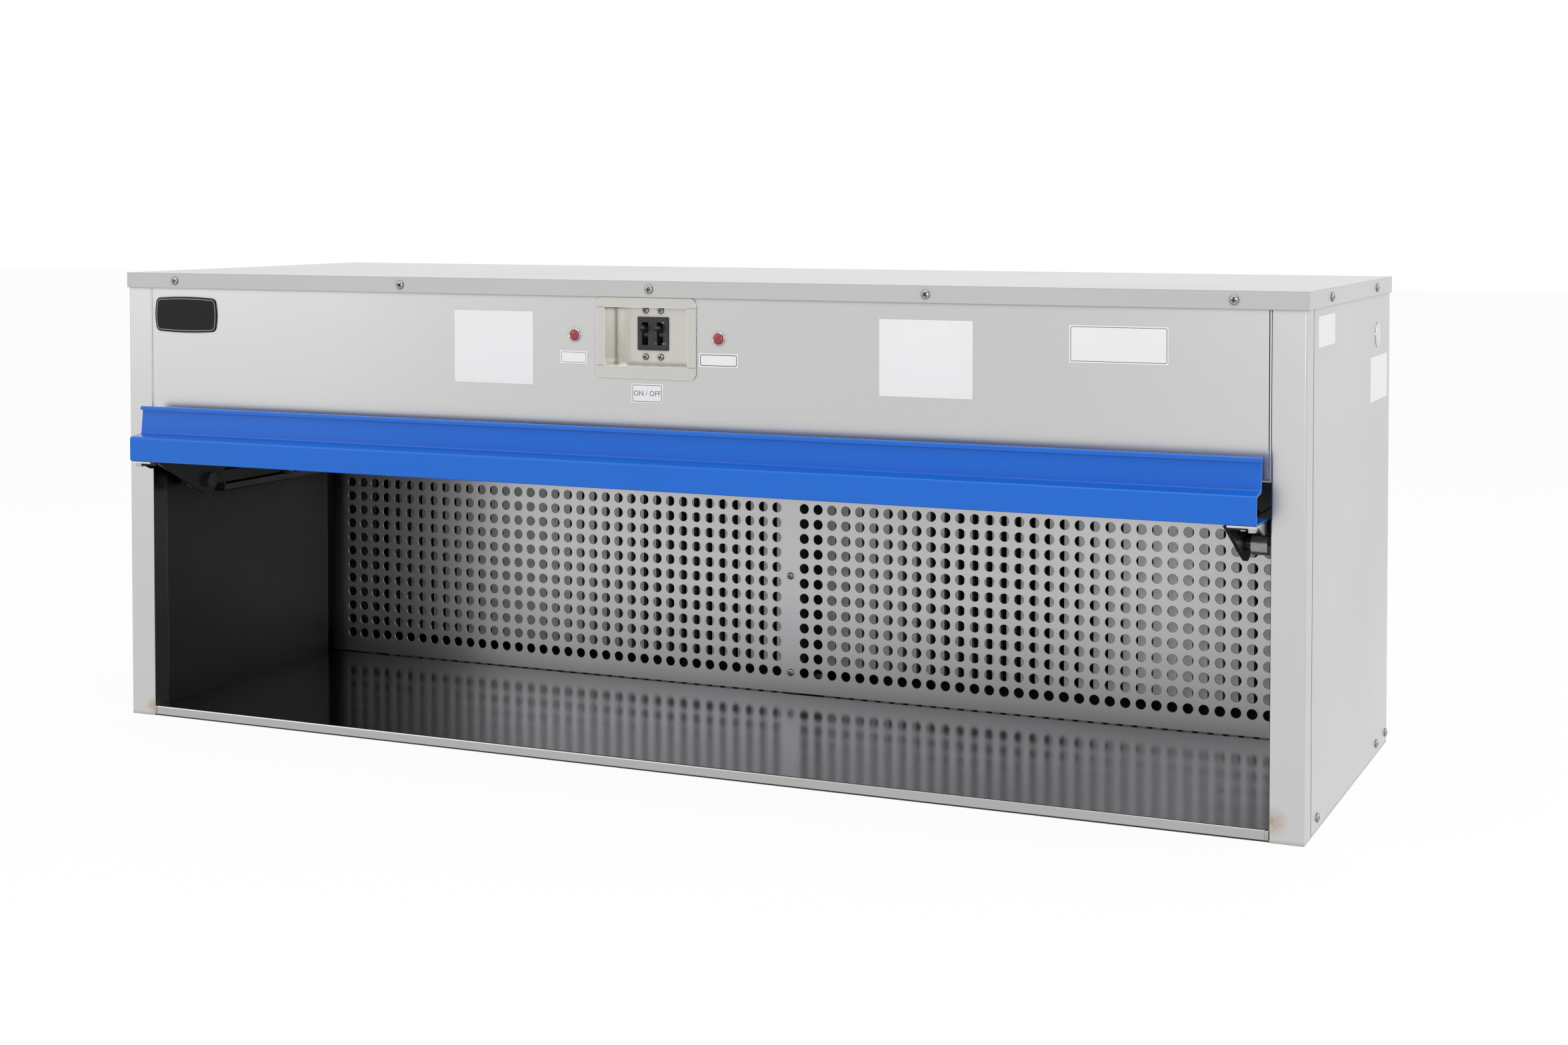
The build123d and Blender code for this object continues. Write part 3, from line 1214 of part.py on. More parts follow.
# Door panel: a shallow pan turned down, with a flat tongue forward over the strips
with BuildPart() as door_panel:
    panel_half = RAIL_X - DOOR_RAIL_GAP
    tongue_front = DOOR_FRONT + HANDLE_FOOT + DOOR_PANEL_GAP
    pan_front = STRIP_BACK + DOOR_PANEL_GAP
    with BuildSketch(Plane.XY.offset(DOOR_FOOT_Z + SHEET)):
        with Locations((0, (pan_front + DOOR_BACK) / 2)):
            Rectangle(2 * panel_half, DOOR_BACK - pan_front)
    extrude(amount=-DOOR_PANEL_FLANGE)
    offset(amount=-SHEET, openings=door_panel.faces().sort_by(Axis.Z)[0])
    with BuildSketch(Plane.XY.offset(DOOR_FOOT_Z)):
        with Locations((0, (tongue_front + pan_front + SHEET) / 2)):
            Rectangle(2 * panel_half, pan_front + SHEET - tongue_front)
    extrude(amount=SHEET)
    bolt_holes(Plane.XY.offset(DOOR_FOOT_Z), [panel_bolt, (-panel_bolt[0], panel_bolt[1])])
write(door_panel.part, "door_panel")

# Door handle: one folded blue sheet the whole length of the door
with BuildPart() as door_handle:
    handle_top = DOOR_FOOT_Z + HANDLE_HEIGHT
    upper_y = DOOR_FRONT + HANDLE_SETBACK
    hook_y = upper_y + HANDLE_LEAN - HANDLE_HOOK + HANDLE_SHEET
    section = folded(
        right_plane(-DOOR_HALF),
        [
            (hook_y, handle_top - HANDLE_HOOK_DROP),
            (hook_y, handle_top - HANDLE_SHEET),
            (upper_y + HANDLE_LEAN, handle_top - HANDLE_SHEET),
            (upper_y, DOOR_FOOT_Z + HANDLE_SLOPE_RISE),
            (DOOR_FRONT, DOOR_FOOT_Z + HANDLE_LEDGE_RISE),
            (DOOR_FRONT, DOOR_FOOT_Z),
            (DOOR_FRONT + HANDLE_FOOT, DOOR_FOOT_Z),
        ],
        sheet=HANDLE_SHEET,
        side=Side.RIGHT,
        bend=[HANDLE_HOOK_BEND, HANDLE_HOOK_BEND, HANDLE_BEND, HANDLE_BEND, HANDLE_BEND],
    )
    extrude(section, amount=2 * DOOR_HALF)
    handle_bolts = [corner_bolt, flange_bolt]
    bolt_holes(Plane.XY.offset(DOOR_FOOT_Z), handle_bolts + [(-x, y) for x, y in handle_bolts])
write(door_handle.part, "door_handle")


def small_bolt(point, top, grip):
    """Bolt with its head at the top of a stack of sheets and its nut below."""
    with Locations((*point, top)):
        Cylinder(DOOR_BOLT_HEAD / 2, DOOR_BOLT_HEAD_DEPTH, align=SEATED)
        Cylinder(DOOR_BOLT / 2, grip, align=HANGING)
    with Locations((*point, top - grip)):
        Cylinder(DOOR_BOLT_HEAD / 2, DOOR_NUT_DEPTH, align=HANGING)


# Door bolts, through everything that is stacked where each one stands
with BuildPart() as door_bolts:
    foot_top = DOOR_FOOT_Z + HANDLE_SHEET
    small_bolt(corner_bolt, foot_top, foot_top - STRIP_UNDER)
    small_bolt(flange_bolt, foot_top, foot_top - STRIP_UNDER + BRACKET_FLANGE_SHEET)
    small_bolt(panel_bolt, DOOR_FOOT_Z + SHEET, SHEET + STRIP_SHEET + BRACKET_FLANGE_SHEET)
write(both_ends(door_bolts.part), "door_bolts")
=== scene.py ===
"""Heated plate warmer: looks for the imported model. Metres, +X along the cabinet,
-Y the front, +Z up, origin in the middle of the underside."""

import math

import bmesh
import bpy
from mathutils import Matrix, Vector


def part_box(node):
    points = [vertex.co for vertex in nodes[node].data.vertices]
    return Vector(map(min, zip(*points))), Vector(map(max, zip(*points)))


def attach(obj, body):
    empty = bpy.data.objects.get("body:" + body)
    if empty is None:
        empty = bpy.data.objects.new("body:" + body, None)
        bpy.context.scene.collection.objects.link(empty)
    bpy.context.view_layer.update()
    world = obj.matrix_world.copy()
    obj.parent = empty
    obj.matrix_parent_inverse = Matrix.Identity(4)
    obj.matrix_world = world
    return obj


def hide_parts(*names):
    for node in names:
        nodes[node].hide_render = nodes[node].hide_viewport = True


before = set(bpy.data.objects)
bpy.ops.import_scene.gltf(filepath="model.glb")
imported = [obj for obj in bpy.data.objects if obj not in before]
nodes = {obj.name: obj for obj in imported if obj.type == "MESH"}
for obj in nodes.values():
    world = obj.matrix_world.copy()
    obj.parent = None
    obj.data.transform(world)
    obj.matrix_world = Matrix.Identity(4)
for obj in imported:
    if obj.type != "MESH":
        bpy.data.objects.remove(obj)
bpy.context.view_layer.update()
scene = bpy.context.scene

# Studio.
# The cabinet stands on a plain white table in a white room, seen a little from its
# right end and from just above its cover. Large soft lamps stand in front and above.
WHITE = (1.0, 1.0, 1.0)
ROOM_LIGHT = 0.55
TABLE_REACH = 14.0
TABLE_GLOW = 0.93

scene.view_settings.view_transform = "Standard"

camera = bpy.data.objects.new("camera", bpy.data.cameras.new("camera"))
scene.collection.objects.link(camera)
camera.location = (1.1764, -2.5039, 0.6423)
camera.rotation_euler = (math.radians(88.27), 0.0, math.radians(24.035))
camera.data.lens = 52.5
camera.data.sensor_width = 36.0
camera.data.shift_x = -0.0022
camera.data.shift_y = -0.1624
camera.data.clip_start = 0.05
camera.data.clip_end = 60.0
scene.camera = camera


def new_material(name, colour, roughness, metallic=0.0):
    """A material with its shader set to a plain start, and the shader itself."""
    material = bpy.data.materials.new(name)
    material.use_nodes = True
    shader = material.node_tree.nodes["Principled BSDF"]
    shader.inputs["Base Color"].default_value = (*colour, 1.0)
    shader.inputs["Roughness"].default_value = roughness
    shader.inputs["Metallic"].default_value = metallic
    return material, shader


def add_node(tree, kind, inputs, **settings):
    """A new node with these settings. Each input is linked from an output or set to a value."""
    node = tree.nodes.new(kind)
    for label, setting in settings.items():
        setattr(node, label, setting)
    for label, source in inputs.items():
        socket = node.inputs[label]
        if isinstance(source, bpy.types.NodeSocket):
            tree.links.new(source, socket)
        else:
            socket.default_value = (*source, 1.0) if socket.type == "RGBA" else source
    return node


def looked_at(tree):
    """1 where the camera, a reflection or clear plastic looks at the surface, 0 for its soft light."""
    path = tree.nodes.new("ShaderNodeLightPath")
    rays = {0: path.outputs["Is Camera Ray"], 1: path.outputs["Is Glossy Ray"]}
    either = add_node(tree, "ShaderNodeMath", rays, operation="ADD")
    rays = {0: either.outputs[0], 1: path.outputs["Is Transmission Ray"]}
    return add_node(tree, "ShaderNodeMath", rays, operation="ADD", use_clamp=True).outputs[0]


def make_room():
    """White background, with a weaker white for the soft light that it gives."""
    scene.world = bpy.data.worlds.new("room")
    scene.world.use_nodes = True
    tree = scene.world.node_tree
    tree.nodes.clear()
    seen = add_node(tree, "ShaderNodeBackground", {"Color": WHITE, "Strength": 1.0})
    soft = add_node(tree, "ShaderNodeBackground", {"Color": WHITE, "Strength": ROOM_LIGHT})
    shaders = {0: looked_at(tree), 1: soft.outputs[0], 2: seen.outputs[0]}
    mix = add_node(tree, "ShaderNodeMixShader", shaders)
    add_node(tree, "ShaderNodeOutputWorld", {"Surface": mix.outputs[0]})


def make_table():
    """White table top that shows mostly its own white, so that only a light shadow is left on it."""
    mesh = bpy.data.meshes.new("table_top")
    corners = [(TABLE_REACH * i, TABLE_REACH * j, 0) for i, j in ((-1, -1), (1, -1), (1, 1), (-1, 1))]
    mesh.from_pydata(corners, [], [(0, 1, 2, 3)])
    table = bpy.data.objects.new("table_top", mesh)
    table.location.z = -0.0004
    scene.collection.objects.link(table)
    material, shader = new_material("table_white", (0.96, 0.96, 0.96), 0.8)
    tree = material.node_tree
    glow = add_node(tree, "ShaderNodeEmission", {"Color": WHITE, "Strength": 1.0})
    share = add_node(tree, "ShaderNodeMath", {0: looked_at(tree), 1: TABLE_GLOW}, operation="MULTIPLY")
    shaders = {0: share.outputs[0], 1: shader.outputs[0], 2: glow.outputs[0]}
    mix = add_node(tree, "ShaderNodeMixShader", shaders)
    tree.links.new(mix.outputs[0], tree.nodes["Material Output"].inputs["Surface"])
    mesh.materials.append(material)


def soft_lamp(name, place, target, width, height, power):
    """A large rectangular lamp that looks at a point."""
    lamp = bpy.data.objects.new(name, bpy.data.lights.new(name, "AREA"))
    lamp.data.shape = "RECTANGLE"
    lamp.data.size = width
    lamp.data.size_y = height
    lamp.data.energy = power
    lamp.location = place
    lamp.rotation_euler = (Vector(target) - Vector(place)).to_track_quat("-Z", "Y").to_euler()
    scene.collection.objects.link(lamp)
    return lamp


make_room()
make_table()
soft_lamp("lamp_overhead", (0.4, -0.3, 2.8), (0.0, 0.0, 0.4), 2.6, 2.0, 32.0)
side_lamps = (
    soft_lamp("lamp_front_left", (-2.2, -2.6, 2.0), (0.0, 0.0, 0.3), 2.0, 2.0, 16.0),
    soft_lamp("lamp_low_left", (-3.1, -3.2, 0.7), (-0.4, 0.0, 0.4), 1.4, 1.2, 2.6),
    soft_lamp("lamp_beside_camera", (1.05, -2.7, 0.85), (0.1, 0.0, 0.2), 0.36, 0.36, 11.0),
    soft_lamp("lamp_right_end", (3.0, 0.6, 1.4), (0.7, 0.0, 0.3), 1.4, 1.4, 16.0),
)

# Outer shell.
# Cover, corner posts, end panels, back and bottom, folded from 1.2 mm stainless sheet
# with a brushed finish. The grain runs along each sheet, and upright on posts and ends.
# The posts are tinted by the deck's welds and carry painted shade on their inner faces.
# Dark strips, painted as shade, fill the bottoms of the grooves behind them.
STEEL_LIGHT = (0.59, 0.585, 0.58)
STEEL_DARK = (0.54, 0.536, 0.535)
ALONG_GRAIN = 4.0
ACROSS_GRAIN = 2400.0
SHARP_CORNER = math.radians(32)
FRONT_FACE = -242.5
WELD_TINTS = ((697, FRONT_FACE, 22, 17), (-696, FRONT_FACE, 12, 12))
FOLD_START = 0.2395
PAN_FOLD_END, DECK_FOLD_END = 0.2404, 0.2405
POST_GAP = 0.0003
TWO_TONES = (
    ("Low Roughness", "Float", 0.3),
    ("High Roughness", "Float", 0.5),
    ("Light", "Color", STEEL_LIGHT),
    ("Dark", "Color", STEEL_DARK),
)
TONE_OUTPUTS = (("Color", "Color"), ("Roughness", "Float"), ("Height", "Float"))


def effect_group(name, inputs, outputs):
    """An empty shader group. Its inputs are label, kind and start, its outputs label and kind."""
    group = bpy.data.node_groups.new(name, "ShaderNodeTree")
    for label, kind, start in inputs:
        socket = group.interface.new_socket(label, in_out="INPUT", socket_type=f"NodeSocket{kind}")
        socket.default_value = (*start, 1.0) if kind == "Color" else start
    for label, kind in outputs:
        group.interface.new_socket(label, in_out="OUTPUT", socket_type=f"NodeSocket{kind}")
    return group, group.nodes.new("NodeGroupInput"), group.nodes.new("NodeGroupOutput")


def colour_mix(tree, share, first, second):
    """The first colour where the share is 0, the second where it is 1."""
    return add_node(tree, "ShaderNodeMix", {0: share, 6: first, 7: second}, data_type="RGBA").outputs[2]


def value_mix(tree, share, first, second):
    """The first value where the share is 0, the second where it is 1."""
    return add_node(tree, "ShaderNodeMix", {0: share, 2: first, 3: second}, data_type="FLOAT").outputs[0]


def noise(tree, place, scale, detail=2.0, roughness=0.5):
    """A noise of this fineness over the surface."""
    values = {"Vector": place, "Scale": scale, "Detail": detail, "Roughness": roughness}
    return add_node(tree, "ShaderNodeTexNoise", values).outputs["Fac"]


def spread_over(group, given, out, value, height):
    """Lets a value from 0 to 1 choose between the group's two colours and its two roughnesses."""
    colour = colour_mix(group, value, given.outputs["Light"], given.outputs["Dark"])
    span = {"Value": value, "From Min": 0.3, "From Max": 0.7}
    span.update({"To Min": given.outputs["Low Roughness"], "To Max": given.outputs["High Roughness"]})
    rough = add_node(group, "ShaderNodeMapRange", span)
    group.links.new(colour, out.inputs["Color"])
    group.links.new(rough.outputs[0], out.inputs["Roughness"])
    group.links.new(height, out.inputs["Height"])


def brushed_grain():
    """Group: fine scratches drawn out along one direction, over faint wide clouds."""
    stretches = tuple((f"Stretch {axis}", "Float", ACROSS_GRAIN) for axis in "XYZ")
    group, given, out = effect_group("brushed_grain", stretches + TWO_TONES, TONE_OUTPUTS)
    place = group.nodes.new("ShaderNodeTexCoord").outputs["Object"]
    axes = {axis: given.outputs[f"Stretch {axis}"] for axis in "XYZ"}
    stretch = add_node(group, "ShaderNodeCombineXYZ", axes)
    factors = {0: place, 1: stretch.outputs[0]}
    scaled = add_node(group, "ShaderNodeVectorMath", factors, operation="MULTIPLY")
    scratch = noise(group, scaled.outputs[0], 1.0, 3.0, 0.6)
    cloud = noise(group, place, 3.0, 4.0)
    spread_over(group, given, out, value_mix(group, 0.6, scratch, cloud), scratch)
    return group


def edge_highlights_and_seam_shade():
    """Group: paints highlights along folds and cut edges, and paints shade into seams and corners."""
    inputs = (
        ("Color", "Color", (0.5, 0.5, 0.5)),
        ("Edge Color", "Color", (0.9, 0.9, 0.9)),
        ("Seam Color", "Color", (0.05, 0.05, 0.05)),
        ("Edge Width", "Float", 0.0012),
        ("Seam Reach", "Float", 0.005),
        ("Edge Share", "Float", 0.5),
        ("Seam Share", "Float", 0.6),
    )
    group, given, out = effect_group("edge_highlights_and_seam_shade", inputs, (("Color", "Color"),))
    rounded = add_node(group, "ShaderNodeBevel", {"Radius": given.outputs["Edge Width"]}, samples=4)
    surface = group.nodes.new("ShaderNodeNewGeometry")
    normals = {0: rounded.outputs["Normal"], 1: surface.outputs["Normal"]}
    aligned = add_node(group, "ShaderNodeVectorMath", normals, operation="DOT_PRODUCT")
    reach = {"Distance": given.outputs["Seam Reach"]}
    shade = add_node(group, "ShaderNodeAmbientOcclusion", reach, samples=4)
    colour = given.outputs["Color"]
    for value, start, end, where in (
        (aligned.outputs["Value"], 0.995, 0.9, "Edge"),
        (shade.outputs["AO"], 0.9, 0.35, "Seam"),
    ):
        span = {"Value": value, "From Min": start, "From Max": end}
        span["To Max"] = given.outputs[f"{where} Share"]
        mask = add_node(group, "ShaderNodeMapRange", span)
        colour = colour_mix(group, mask.outputs[0], colour, given.outputs[f"{where} Color"])
    group.links.new(colour, out.inputs["Color"])
    return group


GRAIN = brushed_grain()
EDGE_HIGHLIGHT_SEAM_SHADE = edge_highlights_and_seam_shade()


def edge_light_and_seam_shade(edge, edge_share, seam, seam_share, width=0.0012, reach=0.005):
    """Painted highlight on a finish's edges, this wide, and painted shade in its seams, this far out of the
    corner.
    """
    edges = {"Edge Color": edge, "Edge Share": edge_share, "Edge Width": width}
    return {**edges, "Seam Color": seam, "Seam Share": seam_share, "Seam Reach": reach}


def pass_colour_through(material, group, values):
    """Puts a shared effect, with its own values, between a finish's colour and its shader."""
    tree = material.node_tree
    socket = tree.nodes["Principled BSDF"].inputs["Base Color"]
    given = {"Color": socket.links[0].from_socket, **values}
    effect = add_node(tree, "ShaderNodeGroup", given, node_tree=group)
    tree.links.new(effect.outputs["Color"], socket)


def finish_from(name, group, values, metallic, bump, edge=None):
    """A material whose colour, roughness and bump come from a shared effect, with painted edge highlights
    and seam shade when edge values are given.
    """
    material, shader = new_material(name, values["Light"], values["Low Roughness"], metallic)
    tree = material.node_tree
    effect = add_node(tree, "ShaderNodeGroup", values, node_tree=group)
    height = {"Strength": bump[0], "Distance": bump[1], "Height": effect.outputs["Height"]}
    relief = add_node(tree, "ShaderNodeBump", height)
    tree.links.new(effect.outputs["Color"], shader.inputs["Base Color"])
    tree.links.new(effect.outputs["Roughness"], shader.inputs["Roughness"])
    tree.links.new(relief.outputs["Normal"], shader.inputs["Normal"])
    if edge:
        pass_colour_through(material, EDGE_HIGHLIGHT_SEAM_SHADE, edge)
    return material


def brushed_steel(name, grain, light=STEEL_LIGHT, dark=STEEL_DARK, rough=(0.24, 0.34), edge=None):
    """Brushed sheet whose scratches run along X, Y or Z."""
    values = {f"Stretch {axis}": ALONG_GRAIN if axis == grain else ACROSS_GRAIN for axis in "XYZ"}
    values.update({"Light": light, "Dark": dark, "Low Roughness": rough[0], "High Roughness": rough[1]})
    return finish_from(name, GRAIN, values, 1.0, (0.03, 0.0001), edge)


def set_shader(material, label, value):
    """Sets one plain value of a finish on its shader."""
    material.node_tree.nodes["Principled BSDF"].inputs[label].default_value = value


def crisp_shading():
    """Modifier that joins a CAD mesh's split faces, then shades bends smooth and corners sharp."""
    tree = bpy.data.node_groups.new("crisp_shading", "GeometryNodeTree")
    for way in ("INPUT", "OUTPUT"):
        tree.interface.new_socket("Geometry", in_out=way, socket_type="NodeSocketGeometry")
    given = tree.nodes.new("NodeGroupInput")
    split_faces = {0: given.outputs[0], "Distance": 0.000002}
    weld = add_node(tree, "GeometryNodeMergeByDistance", split_faces)
    smooth = add_node(tree, "GeometryNodeSetShadeSmooth", {0: weld.outputs[0]})
    corner = tree.nodes.new("GeometryNodeInputMeshEdgeAngle")
    angles = {0: corner.outputs["Unsigned Angle"], 1: SHARP_CORNER}
    sharp = add_node(tree, "FunctionNodeCompare", angles, data_type="FLOAT", operation="GREATER_THAN")
    edges = {0: smooth.outputs[0], "Selection": sharp.outputs[0], "Shade Smooth": False}
    shaded = add_node(tree, "GeometryNodeSetShadeSmooth", edges, domain="EDGE")
    add_node(tree, "NodeGroupOutput", {0: shaded.outputs[0]})
    return tree


CRISP = crisp_shading()


def dress(material, *names):
    """Gives CAD nodes their finish and their shading."""
    for name in names:
        for slot in nodes[name].material_slots:
            slot.material = material
        nodes[name].modifiers.new("crisp_shading", "NODES").node_group = CRISP
        nodes[name].modifiers.new("flat_faces", "WEIGHTED_NORMAL").keep_sharp = True


def heat_tint():
    """Group: the straw and brown colour that a weld leaves in steel round one point."""
    inputs = (
        ("Color", "Color", (0.5, 0.5, 0.5)),
        ("Tint", "Color", (0.34, 0.2, 0.08)),
        ("Weld", "Vector", (0.0, 0.0, 0.0)),
        ("Reach", "Float", 0.02),
    )
    group, given, out = effect_group("heat_tint", inputs, (("Color", "Color"),))
    place = group.nodes.new("ShaderNodeTexCoord").outputs["Object"]
    ragged = noise(group, place, 160.0)
    points = {0: place, 1: given.outputs["Weld"]}
    apart = add_node(group, "ShaderNodeVectorMath", points, operation="DISTANCE")
    span = {"Value": apart.outputs["Value"], "From Min": 0.0, "From Max": given.outputs["Reach"]}
    near = add_node(group, "ShaderNodeMapRange", {**span, "To Min": 1.0, "To Max": 0.0})
    uneven = add_node(group, "ShaderNodeMath", {0: near.outputs[0], 1: ragged}, operation="MULTIPLY")
    colour = colour_mix(group, uneven.outputs[0], given.outputs["Color"], given.outputs["Tint"])
    group.links.new(colour, out.inputs["Color"])
    return group


HEAT_TINT = heat_tint()


def tint_weld(material, x, y, z, reach):
    """Adds the heat tint of one weld, at a point in millimetres, to a finish."""
    values = {"Weld": (x / 1000, y / 1000, z / 1000), "Reach": reach / 1000}
    pass_colour_through(material, HEAT_TINT, values)


def repaint(material, axis, start, end, changed):
    """Paints a band of light or shade into a finish's colour where the distance along X or Y passes from
    start to end.
    """
    tree = material.node_tree
    socket = tree.nodes["Principled BSDF"].inputs["Base Color"]
    place = tree.nodes.new("ShaderNodeTexCoord")
    split = add_node(tree, "ShaderNodeSeparateXYZ", {0: place.outputs["Object"]})
    across = add_node(tree, "ShaderNodeMath", {0: split.outputs[axis]}, operation="ABSOLUTE")
    span = {"Value": across.outputs[0], "From Min": start, "From Max": end}
    mask = add_node(tree, "ShaderNodeMapRange", span)
    colour = colour_mix(tree, mask.outputs[0], socket.links[0].from_socket, changed)
    tree.links.new(colour, socket)


def keep_lamps_off(name, lamps):
    """Stops lamps from lighting one node, where their glare would drown its brushed steel."""
    flagged_off = bpy.data.collections.new("flagged_off")
    flagged_off.objects.link(nodes[name])
    flagged_off.collection_objects[0].light_linking.link_state = "EXCLUDE"
    for lamp in lamps:
        lamp.light_linking.receiver_collection = flagged_off


# Painted highlights along the shell's folds and painted shade in its seams; the cover's folds get a painted
# dark line instead, as the dark reflection they show.
STEEL_EDGE = edge_light_and_seam_shade((0.92, 0.92, 0.92), 0.75, (0.08, 0.078, 0.075), 0.8)
COVER_EDGE = {**STEEL_EDGE, "Edge Color": (0.2, 0.2, 0.2), "Edge Share": 0.7, "Edge Width": 0.001}
steel_along = brushed_steel("stainless_along", "X", edge=STEEL_EDGE)
steel_upright = brushed_steel("stainless_upright", "Z", edge=STEEL_EDGE)
post_steel = brushed_steel("post_steel", "Z", edge=STEEL_EDGE)
post_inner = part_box("cavity_ceiling")[1][0] + POST_GAP
# Painted shade on the posts' inner faces, beside the cavity.
repaint(post_steel, "X", post_inner + 0.0006, post_inner + 0.0001, (0.08, 0.08, 0.085))
for weld_tint in WELD_TINTS:
    tint_weld(post_steel, *weld_tint)
dress(post_steel, "corner_posts")
dress(brushed_steel("cover_steel", "X", edge=COVER_EDGE), "top_cover")
keep_lamps_off("top_cover", side_lamps)
dress(steel_along, "back_panel")
pan_steel = brushed_steel("pan_steel", "X", edge=STEEL_EDGE)
# Painted shade on the pan's front fold, under the deck's lip.
repaint(pan_steel, "Y", FOLD_START, PAN_FOLD_END, (0.05, 0.05, 0.05))
dress(pan_steel, "bottom_pan")
dress(steel_upright, "left_side_panel", "right_side_panel")

POST_DEPTH = 0.031
GROOVE_DEPTH = 0.0004
GROOVE_SHADE_DEPTH = 0.004
GROOVE_SHADE_GAP = 0.0001
GROOVE_SHADE_FOOT = 0.002
GROOVE_SHADE_TOP_GAP = 0.0005


def join_rings(bm, a, b):
    """Adds the faces between two rings of points."""
    for k in range(len(a)):
        n = (k + 1) % len(a)
        bm.faces.new((a[k], a[n], b[n], b[k]))


def add_stack(bm, outlines, place=Matrix.Identity(4)):
    """Adds a solid through a stack of outlines with the same number of points."""
    rings = [[bm.verts.new(place @ Vector(p)) for p in outline] for outline in outlines]
    for a, b in zip(rings, rings[1:]):
        join_rings(bm, a, b)
    bm.faces.new(rings[0][::-1])
    bm.faces.new(rings[-1])


def add_upright(bm, outline, bottom, top):
    """Adds an upright solid over this outline."""
    add_stack(bm, [[(x, y, z) for x, y in outline] for z in (bottom, top)])


def mesh_from(bm, name):
    """A mesh with its faces turned outwards."""
    bmesh.ops.recalc_face_normals(bm, faces=bm.faces)
    mesh = bpy.data.meshes.new(name)
    bm.to_mesh(mesh)
    bm.free()
    return mesh


def new_piece(name, bm, material, body, smooth=None):
    """A finished piece of the object, made of these faces, that rides on a body."""
    mesh = mesh_from(bm, name)
    mesh.materials.append(material)
    if smooth is not None:
        mesh.polygons.foreach_set("use_smooth", [True] * len(mesh.polygons))
        mesh.set_sharp_from_angle(angle=math.radians(smooth))
    piece = bpy.data.objects.new(name, mesh)
    scene.collection.objects.link(piece)
    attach(piece, body)
    return piece


def groove_shade_strips():
    """Dark strips, painted as shade, at the bottom of the upright grooves between the posts and the end
    panels.
    """
    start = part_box("corner_posts")[0][1] + POST_DEPTH + GROOVE_SHADE_GAP
    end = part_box("right_side_panel")[0][1] - GROOVE_SHADE_GAP
    bm = bmesh.new()
    for side in (-1, 1):
        face = side * (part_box("corner_posts")[1][0] - GROOVE_DEPTH)
        inner = side * (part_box("corner_posts")[1][0] - GROOVE_SHADE_DEPTH)
        outline = [(inner, start), (face, start), (face - side * GROOVE_DEPTH, (start + end) / 2)]
        outline += [(face, end), (inner, end)]
        add_upright(bm, outline, GROOVE_SHADE_FOOT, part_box("top_cover")[0][2] - GROOVE_SHADE_TOP_GAP)
    return bm


# Painted shade: a dark, dull finish for the grooves.
groove_shade_black = brushed_steel("groove_shade_black", "Z", (0.06, 0.038, 0.03), (0.035, 0.025, 0.02), (0.5, 0.7))
set_shader(groove_shade_black, "Metallic", 0.0)
new_piece("end_groove_shade_strips", groove_shade_strips(), groove_shade_black, "cabinet")

# Shell screws.
# Stainless pan heads with a cross recess, through the cover's skirt and low down
# through the end panels. Each was driven to its own angle.
SHELL_SCREW_HEAD = (0.005, 0.0024)
COVER_SCREW_PITCH = 328
COVER_SCREW_Z = 541.5
END_SCREW_Z = 13
SKIRT_FRONT = 244.7
SKIRT_END = 730.7
END_FACE = 728.5


def face_frame(x_axis, y_axis):
    """Turn whose local X and Y lie in a face of the cabinet, with local Z out of it."""
    x_axis, y_axis = Vector(x_axis), Vector(y_axis)
    return Matrix((x_axis, y_axis, x_axis.cross(y_axis))).transposed().to_4x4()


ON_FRONT = face_frame((1, 0, 0), (0, 0, 1))
ON_BACK = face_frame((-1, 0, 0), (0, 0, 1))
ON_RIGHT = face_frame((0, 1, 0), (0, 0, 1))
ON_LEFT = face_frame((0, -1, 0), (0, 0, 1))


def seat(face, x, y, z, turn=0.0):
    """Place on a face of the cabinet, at a point in millimetres."""
    return Matrix.Translation((x / 1000, y / 1000, z / 1000)) @ face @ Matrix.Rotation(turn, 4, "Z")


def add_turned(bm, profile, place, steps=32, closed=False):
    """Adds a form turned round a place's Z axis, from pairs of radius and height."""
    rings = []
    for radius, height in profile:
        count = 1 if radius < 1e-7 else steps
        angles = [2 * math.pi * k / steps for k in range(count)]
        points = [(radius * math.cos(a), radius * math.sin(a), height) for a in angles]
        rings.append([bm.verts.new(place @ Vector(p)) for p in points])
    pairs = list(zip(rings, rings[1:])) + ([(rings[-1], rings[0])] if closed else [])
    for a, b in pairs:
        for k in range(steps):
            n = k + 1
            corners = (a[k % len(a)], a[n % len(a)], b[n % len(b)], b[k % len(b)])
            bm.faces.new(list(dict.fromkeys(corners)))


